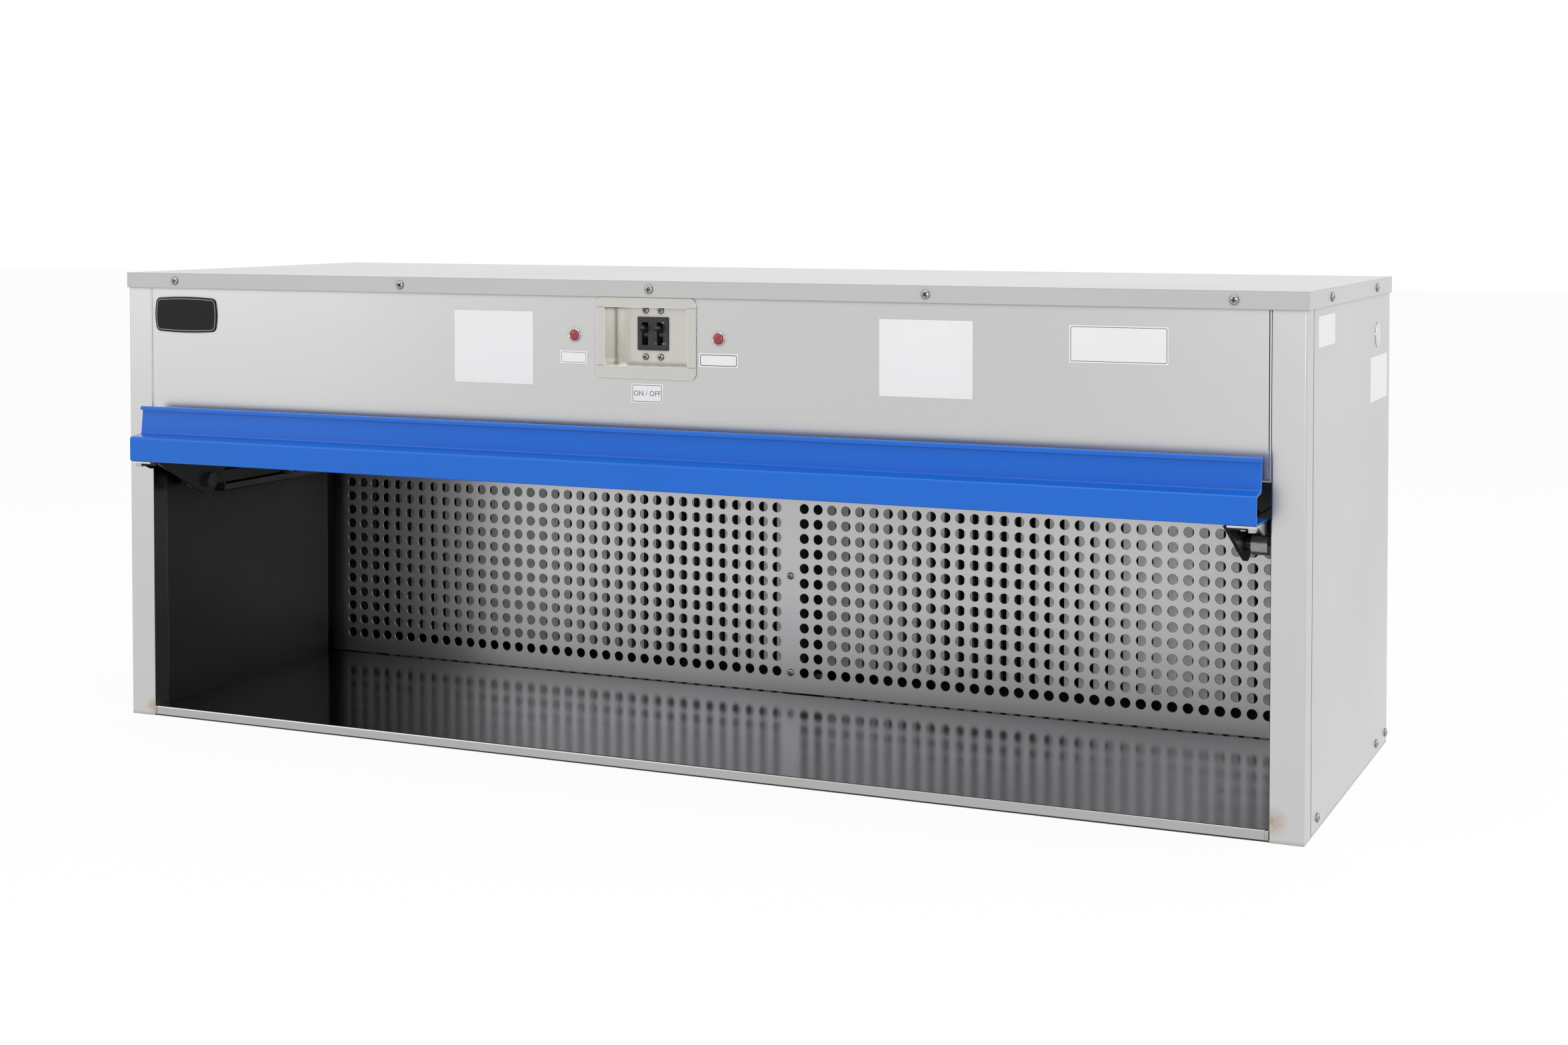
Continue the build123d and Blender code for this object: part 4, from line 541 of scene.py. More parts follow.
def cross_head(radius, height):
    """Mesh of a pan head with a cross recess, standing on Z = 0."""
    bm = bmesh.new()
    rim = [(0, 0), (1, 0), (1, 0.28), (0.93, 0.6), (0.74, 0.85), (0.42, 0.97), (0, 1)]
    add_turned(bm, [(radius * r, height * h) for r, h in rim], Matrix.Identity(4))
    head = bpy.data.objects.new("head", mesh_from(bm, "head"))
    arm, slot = 0.62 * radius, 0.15 * radius
    corner = [(arm, slot), (slot, slot), (slot, arm)]
    cross = []
    for quarter in range(4):
        turn = Matrix.Rotation(quarter * math.pi / 2, 2)
        cross += [turn @ Vector(p) for p in corner]
    bm = bmesh.new()
    layers = [(0.45, 0.2), (1.0, 0.9), (1.1, 1.3)]
    add_stack(bm, [[(share * p.x, share * p.y, level * height) for p in cross] for share, level in layers])
    cutter = bpy.data.objects.new("cutter", mesh_from(bm, "cutter"))
    for made in (head, cutter):
        scene.collection.objects.link(made)
    cut = head.modifiers.new("recess", "BOOLEAN")
    cut.operation = "DIFFERENCE"
    cut.solver = "EXACT"
    cut.object = cutter
    mesh = bpy.data.meshes.new_from_object(head.evaluated_get(bpy.context.evaluated_depsgraph_get()))
    for made in (head, cutter):
        bpy.data.objects.remove(made)
    return mesh


def screw_heads(name, head, seats, replaced):
    """All heads of one group of screws, in place of their CAD node."""
    bm = bmesh.new()
    for place in seats:
        before = len(bm.verts)
        bm.from_mesh(head)
        bm.verts.ensure_lookup_table()
        bmesh.ops.transform(bm, matrix=place, verts=bm.verts[before:])
    piece = new_piece(name, bm, screw_steel, "cabinet", smooth=35)
    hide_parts(replaced)


# Painted highlight on the heads' rims, and painted shade in their recesses and round their feet.
SCREW_EDGE = edge_light_and_seam_shade((0.5, 0.49, 0.47), 0.4, (0.02, 0.02, 0.02), 1.0, 0.0003, 0.003)
screw_steel = brushed_steel(
    "screw_steel", "Y", (0.42, 0.41, 0.39), (0.3, 0.29, 0.28), (0.16, 0.3), SCREW_EDGE
)
cover_seats = []
for face, y, twist, numbers in (
    (ON_FRONT, -SKIRT_FRONT, 0.7, range(-2, 3)),
    (ON_BACK, SKIRT_FRONT, 0.9, (-1.5, 0, 1.5)),
):
    cover_seats += [seat(face, COVER_SCREW_PITCH * n, y, COVER_SCREW_Z, twist * n) for n in numbers]
end_seats = []
for face, side, twist, low_twist in ((ON_RIGHT, 1, 0.01, 0.01), (ON_LEFT, -1, 0.02, 0.03)):
    cover_seats += [seat(face, side * SKIRT_END, y, COVER_SCREW_Z, twist * y) for y in (-126.5, 142.5)]
    for y in (-176.5, 170.5, 231.5):
        end_seats.append(seat(face, side * END_FACE, y, END_SCREW_Z, low_twist * y))
shell_head = cross_head(*SHELL_SCREW_HEAD)
screw_heads("cover_screw_heads", shell_head, cover_seats, "cover_screws")
screw_heads("end_panel_screw_heads", shell_head, end_seats, "side_panel_screws")

# Louvres.
# Two panels of pressed louvres high on the back let the control space breathe. Each
# slot has a hood pushed out of the sheet over it.
LOUVRE_COLUMNS = (-465, -375, 375, 465)
LOUVRE_ROWS = (457, 471, 485, 499, 513)
BACK_FACE = 241.3
HOOD_HALF = 0.0305
HOOD_DEPTH = 0.003
HOOD_TOP = 0.0027
HOOD_SLOPE = 2.1
HOOD_STEPS = 5
HOOD_SHEET = 0.0008


def add_louvre(bm, place):
    """One hood: a quarter-round lip of sheet over its slot, closed at both ends."""
    arc = [math.pi / 2 * k / HOOD_STEPS for k in range(HOOD_STEPS + 1)]
    fall = HOOD_SLOPE * HOOD_DEPTH
    outer = [(HOOD_TOP - fall * (1 - math.cos(a)), HOOD_DEPTH * math.sin(a)) for a in arc]
    outline = outer + [(y - HOOD_SHEET, max(z - HOOD_SHEET, 0.0)) for y, z in reversed(outer)]
    add_stack(bm, [[(x, y, z) for y, z in outline] for x in (-HOOD_HALF, HOOD_HALF)], place)


bm = bmesh.new()
for x in LOUVRE_COLUMNS:
    for z in LOUVRE_ROWS:
        add_louvre(bm, seat(ON_BACK, x, BACK_FACE, z))
new_piece("louvre_hoods", bm, steel_along, "cabinet", smooth=30)

# Deck and cavity.
# The deck is the warm shelf, worn bright by sliding loads so that it mirrors what is above it,
# with a weld bead at each end of its front lip. Liners and ceiling are duller sheet. Deck, liners
# and ceiling are painted dark as the cabinet's own shade; the deck's front lip is painted lighter.
# Painted shade reaching far into the cavity's corners, a painted highlight along the liners' edges, and
# painted highlights and shade on the weld beads.
INSIDE_CORNERS = edge_light_and_seam_shade((0.5, 0.5, 0.5), 0.4, (0.02, 0.02, 0.022), 0.85, reach=0.1)
LINER_EDGE = {**INSIDE_CORNERS, "Edge Color": (0.4, 0.4, 0.42), "Edge Share": 0.9, "Edge Width": 0.002}
WELD_EDGE = edge_light_and_seam_shade((0.6, 0.58, 0.55), 0.5, (0.04, 0.035, 0.03), 1.0, 0.0006, 0.0025)
WELD_XS = (-693.2, 690.8)
WELD_Y, WELD_FOOT = -0.2416, 0.0018
WELD_FLATNESS = 0.42
WELD_PROFILE = (
    (0.0, 0.0), (1.5, 0.5), (2.4, 1.6), (2.1, 2.7), (2.6, 3.8), (2.2, 5.0),
    (2.7, 6.2), (2.3, 7.4), (2.6, 8.5), (1.9, 9.6), (0.0, 10.6),
)

# Painted shade: the deck's colour is painted dark for the shade inside the cabinet.
deck_steel = brushed_steel(
    "deck_steel", "X", (0.235, 0.222, 0.242), (0.175, 0.165, 0.185), (0.09, 0.17), INSIDE_CORNERS
)
# Painted light on the deck's front lip, which stands out of that shade.
repaint(deck_steel, "Y", FOLD_START, DECK_FOLD_END, (0.44, 0.435, 0.425))
dress(deck_steel, "deck")


def in_metres(profile):
    """Pairs of radius and height, given in millimetres."""
    return [(radius / 1000, height / 1000) for radius, height in profile]


bm = bmesh.new()
for x in WELD_XS:
    foot = Matrix.Translation((x / 1000, WELD_Y, WELD_FOOT))
    flattened = foot @ Matrix.Diagonal((1.0, WELD_FLATNESS, 1.0, 1.0))
    add_turned(bm, in_metres(WELD_PROFILE), flattened, steps=20)
weld_steel = brushed_steel("weld_steel", "Y", (0.5, 0.48, 0.45), (0.28, 0.25, 0.22), (0.25, 0.4), WELD_EDGE)
new_piece("deck_lip_welds", bm, weld_steel, "cabinet", smooth=70)
# Painted shade: the liners' colour is painted dark for the cavity's shade.
liner_steel = brushed_steel(
    "liner_steel", "Z", (0.08, 0.078, 0.082), (0.045, 0.045, 0.047), (0.28, 0.42), LINER_EDGE
)
dress(liner_steel, "cavity_liners", "plenum_walls")
# Painted shade: the ceiling's colour is painted darker for the cavity's shade.
ceiling_steel = brushed_steel("ceiling_steel", "X", (0.34, 0.34, 0.34), (0.27, 0.27, 0.27), (0.22, 0.36))
dress(ceiling_steel, "cavity_ceiling", "deck_stiffeners", "fan_shelf")

# Perforated back.
# One sheet with half-inch holes punched on a three-quarter inch pitch in two fields,
# and a blank band down the middle where two screws hold it to a channel behind.
PUNCH_PITCH = 0.01905
PUNCH_RADIUS = 0.00635
PUNCH_EDGE = 0.00025
PUNCH_COLUMNS = 35
PUNCH_ROWS = 14
PUNCH_LOWEST = 0.0395
PUNCH_SIDES = 16
BACK_SHEET_LAP = 0.0065
BACK_SCREW_HEAD = (0.0045, 0.0022)
BACK_SCREW_ZS = (39.0, 162.5)
BACK_SHEET_FRONT = 143.5
HOLE_WALLS = (0.1441, 0.1446)


def punched_sheet():
    """Sheet: a ring of faces round every hole, and plain faces for its blank margins."""
    (_, front, bottom), (right, back, top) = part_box("perforated_back")
    bm = bmesh.new()
    made = {}
    half = PUNCH_PITCH / 2

    def at(x, y, z):
        key = (round(x, 6), round(y, 6), round(z, 6))
        if key not in made:
            made[key] = bm.verts.new((x, y, z))
        return made[key]

    turns = [2 * math.pi * k / PUNCH_SIDES for k in range(PUNCH_SIDES)]
    around = [(math.cos(a), math.sin(a), half / max(abs(math.cos(a)), abs(math.sin(a)))) for a in turns]
    columns = [(n + 1) * PUNCH_PITCH for n in range(PUNCH_COLUMNS)]
    columns = [-x for x in reversed(columns)] + columns
    rows = [PUNCH_LOWEST + n * PUNCH_PITCH for n in range(PUNCH_ROWS)]
    for x in columns:
        for z in rows:
            rings = []
            for reach, y in (
                (None, front),
                (PUNCH_RADIUS + PUNCH_EDGE, front),
                (PUNCH_RADIUS, front + PUNCH_EDGE),
                (PUNCH_RADIUS, back),
                (None, back),
            ):
                rings.append([at(x + (reach or r) * c, y, z + (reach or r) * s) for c, s, r in around])
            for a, b in zip(rings, rings[1:]):
                join_rings(bm, a, b)
    steps = sorted({round(r * c, 6) for c, s, r in around})
    field_x = sorted({round(x + d, 6) for x in columns if x > 0 for d in steps})
    field_z = sorted({round(z + d, 6) for z in rows for d in steps})
    inner, outer = field_x[0], field_x[-1]
    low, high = field_z[0], field_z[-1]
    upright = [bottom, *field_z, top]
    for y in (front, back):
        for side in (-1, 1):
            edge = side * (right + BACK_SHEET_LAP)
            strip = [(side * outer, z) for z in upright] + [(edge, top), (edge, bottom)]
            under = [(side * x, low) for x in field_x] + [(side * outer, bottom), (side * inner, bottom)]
            over = [(side * x, high) for x in field_x] + [(side * outer, top), (side * inner, top)]
            for outline in (strip, under, over):
                bm.faces.new([at(x, y, z) for x, z in outline])
        band = [(inner, z) for z in upright] + [(-inner, z) for z in reversed(upright)]
        bm.faces.new([at(x, y, z) for x, z in band])
    for edge in [e for e in bm.edges if len(e.link_faces) == 1 and e.verts[0].co.y < (front + back) / 2]:
        a, b = edge.verts
        bm.faces.new((a, b, at(b.co.x, back, b.co.z), at(a.co.x, back, a.co.z)))
    return bm


# Painted highlights round the holes' rims, and painted shade reaching far out of the sheet's corners and
# over its back.
BACK_EDGE = edge_light_and_seam_shade((0.95, 0.95, 0.96), 0.9, (0.02, 0.02, 0.022), 0.6, 0.0007, 0.06)
back_steel = brushed_steel(
    "back_steel", "X", (0.55, 0.55, 0.56), (0.48, 0.48, 0.49), (0.26, 0.38), BACK_EDGE
)
# Painted highlight on the hole walls.
repaint(back_steel, "Y", *HOLE_WALLS, (0.9, 0.9, 0.9))
sheet = new_piece("perforated_sheet", punched_sheet(), back_steel, "cabinet", smooth=30)
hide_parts("perforated_back")
back_seats = [seat(ON_FRONT, 0, BACK_SHEET_FRONT, z, 0.02 * z) for z in BACK_SCREW_ZS]
screw_heads("back_sheet_screw_heads", cross_head(*BACK_SCREW_HEAD), back_seats, "back_sheet_screws")

# Grease filters.
# Lift-out baffle filters at the back of the air space: a folded frame crossed by
# upright channels, with a second, staggered row behind that shuts the gaps. The front
# row is painted near white as light; the rear row, the frame's bottom bar, a blank and
# the gap between the filters are painted black as shade.
BAFFLE_GAP = 0.0078
MOST_SLOTS = 40
FRAME_BAR = 0.0150
FRAME_EASE = 0.0006
CHANNEL_SHEET = 0.0007
CHANNEL_SET_BACK = 0.0008
CHANNEL_LAP = 0.002
FRONT_MOUTH, REAR_MOUTH = 0.0095, 0.0062
REAR_EXTRA_WIDTH = 0.0016
GAP_SHADE_LEFT = -0.0232
GAP_SHADE_HEIGHTS = (0.022, 0.290)
GAP_SHADE_CLEARANCE = 0.0002
# Of each filter: its slots' pitch, one slot's X, its right end, and that of any blank at its left, a black
# piece of painted shade.
FILTERS = (
    ("left", 0.01895, -0.3618, -0.0234, -0.6728),
    ("right", 0.01885, 0.2771, 0.6808, None),
)


def add_channel(bm, x, width, mouth, floor, bottom, top):
    """An upright U channel of thin sheet, with its floor at one depth and its mouth at another."""
    a, b = x - width / 2, x + width / 2
    inside = floor - math.copysign(CHANNEL_SHEET, floor - mouth)
    outline = [(a, mouth), (a, floor), (b, floor), (b, mouth)]
    outline += [(b - CHANNEL_SHEET, mouth), (b - CHANNEL_SHEET, inside)]
    outline += [(a + CHANNEL_SHEET, inside), (a + CHANNEL_SHEET, mouth)]
    add_upright(bm, outline, bottom, top)


def add_block(bm, low, high):
    """A bar of a folded frame, with its long edges eased."""
    (x0, y0, z0), (x1, y1, z1) = low, high
    ease = FRAME_EASE
    outline = [(x0 + ease, z0), (x1 - ease, z0), (x1, z0 + ease), (x1, z1 - ease)]
    outline += [(x1 - ease, z1), (x0 + ease, z1), (x0, z1 - ease), (x0, z0 + ease)]
    add_stack(bm, [[(x, y, z) for x, z in outline] for y in (y0, y1)])


def baffle_filter(side, pitch, slot, end, blank):
    """Frame and staggered rows of channels in the CAD filter's space, between its blank and its end."""
    node = f"{side}_grease_filter"
    (x0, y0, z0), (x1, y1, z1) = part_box(node)
    low, high = z0 + FRAME_BAR, z1 - FRAME_BAR
    bm = bmesh.new()
    add_block(bm, (x0, y0, z0), (x1, y1, low))
    if blank:
        add_block(bm, (x0, y0, low), (blank, y1, z1))
        x0 = blank
    # The bottom bar, and the blank where there is one, take the painted shade.
    for face in bm.faces:
        face.material_index = 1
    x1 = min(x1, end)
    if not blank:
        add_block(bm, (x0, y0, low), (x0 + FRAME_BAR, y1, high))
    add_block(bm, (x1 - FRAME_BAR, y0, low), (x1, y1, high))
    add_block(bm, (x0, y0, high), (x1, y1, z1))
    rear = bmesh.new()
    width = pitch - BAFFLE_GAP
    for row, shift, across, mouth, floor in (
        (bm, 0.5, width, y0 + FRONT_MOUTH, y0 + CHANNEL_SET_BACK),
        (rear, 0.0, width + REAR_EXTRA_WIDTH, y0 + REAR_MOUTH, y1 - CHANNEL_SET_BACK),
    ):
        for k in range(-MOST_SLOTS, MOST_SLOTS + 1):
            x = slot + (k + shift) * pitch
            if x0 < x < x1 - FRAME_BAR:
                add_channel(row, x, across, mouth, floor, low - CHANNEL_LAP, high + CHANNEL_LAP)
    name = f"{side}_baffle_filter"
    front_row = new_piece(name, bm, filter_steel, "cabinet")
    front_row.data.materials.append(shade_black_steel)
    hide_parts(node)
    new_piece(f"{name}_rear_row", rear, shade_black_steel, "cabinet")


# Painted light: the front row's steel is near white, for light that the punched sheet keeps from it.
filter_steel = brushed_steel("filter_steel", "Z", (0.95, 0.945, 0.93), (0.86, 0.85, 0.835), (0.45, 0.6))
# Painted shade: nearly black steel for the rear row and everything else behind the punched sheet.
shade_black_steel = brushed_steel("shade_black_steel", "Z", (0.03, 0.028, 0.026), (0.018, 0.017, 0.016), (0.4, 0.6))
for sizes in FILTERS:
    baffle_filter(*sizes)
dress(shade_black_steel, "filter_channels", "back_supports")
# A black block of painted shade fills the gap between the two filters.
(_, front, _), (right, back, _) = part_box("left_grease_filter")
bm = bmesh.new()
bottom, top = GAP_SHADE_HEIGHTS
add_block(bm, (GAP_SHADE_LEFT, front + GAP_SHADE_CLEARANCE, bottom), (-right - GAP_SHADE_CLEARANCE, back, top))
new_piece("filter_gap_shade", bm, shade_black_steel, "cabinet")

# Air and heat.
# Sheathed heaters in a galvanised duct, two axial fans in black moulded housings, and
# mineral boards round the cavity. None of it shows when the cabinet is closed up.


def fine_mottle():
    """Group: a fine even speckle, as in moulded plastic, paint, rubber or pressed fibre."""
    inputs = (("Size", "Float", 400.0), *TWO_TONES)
    group, given, out = effect_group("fine_mottle", inputs, TONE_OUTPUTS)
    place = group.nodes.new("ShaderNodeTexCoord").outputs["Object"]
    speckle = noise(group, place, given.outputs["Size"], 4.0, 0.55)
    cloud = noise(group, place, 9.0, 3.0)
    spread_over(group, given, out, value_mix(group, 0.5, speckle, cloud), speckle)
    return group


MOTTLE = fine_mottle()


def mottled(name, light, dark, rough, size=400.0, metallic=0.0, bump=(0.1, 0.0002), edge=None):
    """A finish with a fine speckle."""
    values = {"Size": size, "Light": light, "Dark": dark}
    values.update({"Low Roughness": rough[0], "High Roughness": rough[1]})
    return finish_from(name, MOTTLE, values, metallic, bump, edge)


galvanised = mottled("galvanised", (0.5, 0.51, 0.53), (0.36, 0.37, 0.39), (0.3, 0.5), 60.0, 0.9)
dress(galvanised, "air_duct", "control_plate", "heater_brackets")
heater_sheath = mottled("heater_sheath", (0.24, 0.22, 0.2), (0.13, 0.12, 0.11), (0.4, 0.6), metallic=0.8)
dress(heater_sheath, "heaters", "over_heat_switch")
black_moulded = mottled("black_moulded", (0.03, 0.03, 0.032), (0.018, 0.018, 0.02), (0.32, 0.5), size=900.0)
dress(black_moulded, "fan_housings", "left_fan_impeller", "right_fan_impeller")
dress(black_moulded, "contactor", "thermostat", "pilot_lamps")
terminal_plastic = mottled("terminal_plastic", (0.55, 0.52, 0.44), (0.47, 0.44, 0.37), (0.4, 0.55))
dress(terminal_plastic, "terminal_block")
mineral_board = mottled("mineral_board", (0.62, 0.58, 0.48), (0.42, 0.39, 0.31), (0.85, 0.98), size=180.0)
dress(mineral_board, "side_insulation", "ceiling_insulation")

# Fascia and its plates.
# The control panel hangs between the posts. It carries a dark name plate, left bare
# here, and self-adhesive white plates, also bare but for their printed borders.
LARGE_PLATES = ((-202.2, 472.2, 105.0, 83.6), (327.7, 473.4, 105.6, 82.4))
LINED_PLATES = (
    (-96.9, 463.3, 35.2, 14.8, 0.45),
    (84.9, 464.5, 47.8, 15.5, 0.8),
    (-3.4, 425.2, 39.8, 21.8, 0.6),
    (537.1, 493.6, 104.4, 38.9, 0.6),
)
PLATE_THICKNESS = 0.0003
PLATE_CORNER = 0.0006
PLATE_EASE = 0.0003
LEAST_CORNER = 0.0002
BORDER_INSET = 0.003
BORDER_CORNER = 0.0018
PRINT_RISE = 0.00006
BADGE_CENTRE = (-640.4, 500.1)
BADGE_SIZE = (0.0909, 0.0412)
BADGE_CORNER = 0.007
BADGE_THICKNESS = 0.0012
BADGE_BULGE = 0.0014
BADGE_LINE_INSET = 0.004
BADGE_LINE_CORNER = 0.0055
BADGE_LINE_WIDTH = 0.0006
BADGE_LINE_BULGE = 0.0012
SWITCH_WORDS = (("ON / OFF", 0.0, -0.0002),)
SWITCH_WORDS_AT = (-3.4, 425.2)
SWITCH_WORDS_SIZE = 0.0082
SEAM_SET_BACK = 0.0004
SEAM_ROUNDING = 0.0008
SEAM_DEPTH = 0.009
SEAM_GAP = 0.0007

dress(steel_along, "fascia")


def seam_strips():
    """Folded edges of the posts, which show as a bright line in the seams beside the fascia."""
    (_, front, bottom), (right, _, top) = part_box("fascia")
    face, bend, deep = front + SEAM_SET_BACK, front + SEAM_ROUNDING, front + SEAM_DEPTH
    bm = bmesh.new()
    for side in (-1, 1):
        x0, x1 = sorted((side * (right + SEAM_GAP), side * post_inner))
        outline = [(x0, deep), (x0, bend), (x0 + SEAM_SET_BACK, face)]
        outline += [(x1 - SEAM_SET_BACK, face), (x1, bend), (x1, deep)]
        add_upright(bm, outline, bottom, top)
    return bm


new_piece("fascia_seam_strips", seam_strips(), steel_upright, "cabinet")


def rounded_outline(width, height, corner, level, bulge=0.0, steps=6):
    """Outline of a plate with round corners, whose sides may swell a little."""
    points = []
    for quarter, (i, j) in enumerate(((1, 1), (-1, 1), (-1, -1), (1, -1))):
        x, y = i * (width / 2 - corner), j * (height / 2 - corner)
        for k in range(steps + 1):
            a = math.pi / 2 * (quarter + k / steps)
            points.append((x + corner * math.cos(a), y + corner * math.sin(a)))
    full = []
    for k, (x, y) in enumerate(points):
        full.append((x, y))
        nx, ny = points[(k + 1) % len(points)]
        if (k + 1) % (steps + 1) == 0:
            for share in (0.25, 0.5, 0.75):
                swell = bulge * 4 * share * (1 - share)
                mx, my = x + (nx - x) * share, y + (ny - y) * share
                away = Vector((mx, 0)) if abs(nx - x) < abs(ny - y) else Vector((0, my))
                away = away.normalized() * swell
                full.append((mx + away.x, my + away.y))
    return [(x, y, level) for x, y in full]


def add_plate(bm, width, height, corner, thickness, place, bulge=0.0):
    """A thin plate with eased edges."""
    ease = min(0.3 * thickness, PLATE_EASE)
    outlines = [
        rounded_outline(width, height, corner, 0.0, bulge),
        rounded_outline(width, height, corner, thickness - ease, bulge),
        rounded_outline(width - 2 * ease, height - 2 * ease, corner - ease, thickness, bulge),
    ]
    add_stack(bm, outlines, place)


def add_white_plate(bm, width, height, place):
    """One adhesive plate, with its size in millimetres."""
    add_plate(bm, width / 1000, height / 1000, PLATE_CORNER, PLATE_THICKNESS, place)


def add_border(bm, width, height, corner, line, level, place, bulge=0.0):
    """A printed line that runs round just inside a plate's edge."""
    outer = rounded_outline(width, height, corner, level, bulge)
    corner = max(corner - line, LEAST_CORNER)
    inner = rounded_outline(width - 2 * line, height - 2 * line, corner, level, bulge)
    rings = []
    for rise in (0.0, PRINT_RISE):
        for outline in (outer, inner):
            rings.append([bm.verts.new(place @ Vector((x, y, z + rise))) for x, y, z in outline])
    low_out, low_in, high_out, high_in = rings
    for a, b in ((low_out, high_out), (high_out, high_in), (high_in, low_in), (low_in, low_out)):
        join_rings(bm, a, b)


vinyl = mottled(
    "white_vinyl", (0.86, 0.86, 0.86), (0.78, 0.78, 0.79), (0.3, 0.42), 300.0, bump=(0.05, 0.0001)
)
print_ink = mottled("grey_ink", (0.09, 0.09, 0.1), (0.05, 0.05, 0.055), (0.4, 0.5))
bm = bmesh.new()
borders = bmesh.new()
for x, z, width, height in LARGE_PLATES:
    add_white_plate(bm, width, height, seat(ON_FRONT, x, FRONT_FACE, z))
for x, z, width, height, line in LINED_PLATES:
    place = seat(ON_FRONT, x, FRONT_FACE, z)
    add_white_plate(bm, width, height, place)
    size = (width / 1000 - BORDER_INSET, height / 1000 - BORDER_INSET)
    add_border(borders, *size, BORDER_CORNER, line / 1000, PLATE_THICKNESS, place)
new_piece("fascia_plates", bm, vinyl, "cabinet")
new_piece("fascia_plate_borders", borders, print_ink, "cabinet")

badge_place = seat(ON_FRONT, BADGE_CENTRE[0], FRONT_FACE, BADGE_CENTRE[1])
badge_grey = mottled("badge_grey", (0.012, 0.012, 0.014), (0.007, 0.007, 0.008), (0.2, 0.34), size=500.0)
set_shader(badge_grey, "Specular IOR Level", 0.15)
bm = bmesh.new()
add_plate(bm, *BADGE_SIZE, BADGE_CORNER, BADGE_THICKNESS, badge_place, BADGE_BULGE)
new_piece("name_plate", bm, badge_grey, "cabinet", smooth=40)
badge_line = mottled("badge_line", (0.42, 0.42, 0.43), (0.36, 0.36, 0.37), (0.3, 0.4), metallic=0.6)
bm = bmesh.new()
size = (BADGE_SIZE[0] - BADGE_LINE_INSET, BADGE_SIZE[1] - BADGE_LINE_INSET)
add_border(bm, *size, BADGE_LINE_CORNER, BADGE_LINE_WIDTH, BADGE_THICKNESS, badge_place, BADGE_LINE_BULGE)
new_piece("name_plate_line", bm, badge_line, "cabinet")


def lettering(name, words, size, place, material):
    """Flat printed capitals: each word with its place across and up."""
    bm = bmesh.new()
    for text, x, y in words:
        curve = bpy.data.curves.new(name, "FONT")
        curve.body = text
        curve.size = size
        curve.align_x = "CENTER"
        curve.align_y = "CENTER"
        curve.extrude = PRINT_RISE / 2
        curve.resolution_u = 3
        writer = bpy.data.objects.new(name, curve)
        scene.collection.objects.link(writer)
        flat = bpy.data.meshes.new_from_object(writer.evaluated_get(bpy.context.evaluated_depsgraph_get()))
        flat.transform(place @ Matrix.Translation((x, y, PRINT_RISE / 2)))
        bm.from_mesh(flat)
        bpy.data.objects.remove(writer)
    new_piece(name, bm, material, "cabinet")


switch_place = seat(ON_FRONT, SWITCH_WORDS_AT[0], FRONT_FACE - 0.3, SWITCH_WORDS_AT[1])
lettering("on_off_words", SWITCH_WORDS, SWITCH_WORDS_SIZE, switch_place, print_ink)

# Breaker.
# A two-pole breaker looks through the back of its stainless recess, held by four pan
# screws. The poles are black phenolic with a seam between and a lever in each slot.
BREAKER_X, BREAKER_Z = -9.5, 490.4
BREAKER_FACE = -217.7
BREAKER_SCREW_HEAD = (0.0038, 0.0024)
BREAKER_SCREW_Y = -215.7
BREAKER_SCREW_SPAN = (9.525, 26.2)
POLE_OFFSET = 9.5
POLE_SEAM = (0.0009, 0.0366, 0.0003, 0.0003)
POLE_BORDER = (0.0120, 0.0300, 0.0012, 0.0009, 0.0)
POLE_BAR = (0.0150, 0.0022, 0.0006, 0.0004)
POLE_BAR_DROP = 0.0162
OPENING_LEFT, OPENING_RIGHT = -56.7, 46.7
JOINT_ZS = (521.0, 455.4)
JOINT_MARGIN = 0.6
JOINT_LINE = 0.0004
JOINT_RISE = 0.00008
MARK_SIZE = 0.0026
MARKS = (("ON", 0.0135, 0.0126), ("OFF", 0.0142, -0.0112), ("I", 0.0040, 0.0126), ("O", 0.0040, -0.0112))

recess_steel = brushed_steel(
    "recess_steel", "X", (0.6, 0.585, 0.55), (0.55, 0.535, 0.5), (0.2, 0.3), STEEL_EDGE
)
dress(recess_steel, "breaker_recess")
bm = bmesh.new()
(left, front, _), (right, _, _) = (tuple(1000 * v for v in p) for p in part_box("breaker_recess"))
for frame_x, opening_x in ((left + JOINT_MARGIN, OPENING_LEFT), (right - JOINT_MARGIN, OPENING_RIGHT)):
    for z in JOINT_ZS:
        place = seat(ON_FRONT, (frame_x + opening_x) / 2, front, z)
        length = abs(frame_x - opening_x) / 1000
        add_plate(bm, length, JOINT_LINE, JOINT_LINE / 2.5, JOINT_RISE, place)
seam_shadow = mottled("seam_shadow", (0.06, 0.058, 0.055), (0.03, 0.03, 0.03), (0.5, 0.7))
new_piece("recess_joint_lines", bm, seam_shadow, "cabinet")
dress(black_moulded, "breaker")
toggle_black = mottled("toggle_black", (0.022, 0.022, 0.024), (0.012, 0.012, 0.013), (0.2, 0.34), size=700.0)
dress(toggle_black, "breaker_toggles")
breaker_seats = []
for i in (-1, 1):
    for j in (-1, 1):
        x, z = BREAKER_X + BREAKER_SCREW_SPAN[0] * i, BREAKER_Z + BREAKER_SCREW_SPAN[1] * j
        breaker_seats.append(seat(ON_FRONT, x, BREAKER_SCREW_Y, z, 0.6 * i + 0.9 * j))
screw_heads("breaker_screw_heads", cross_head(*BREAKER_SCREW_HEAD), breaker_seats, "breaker_screws")

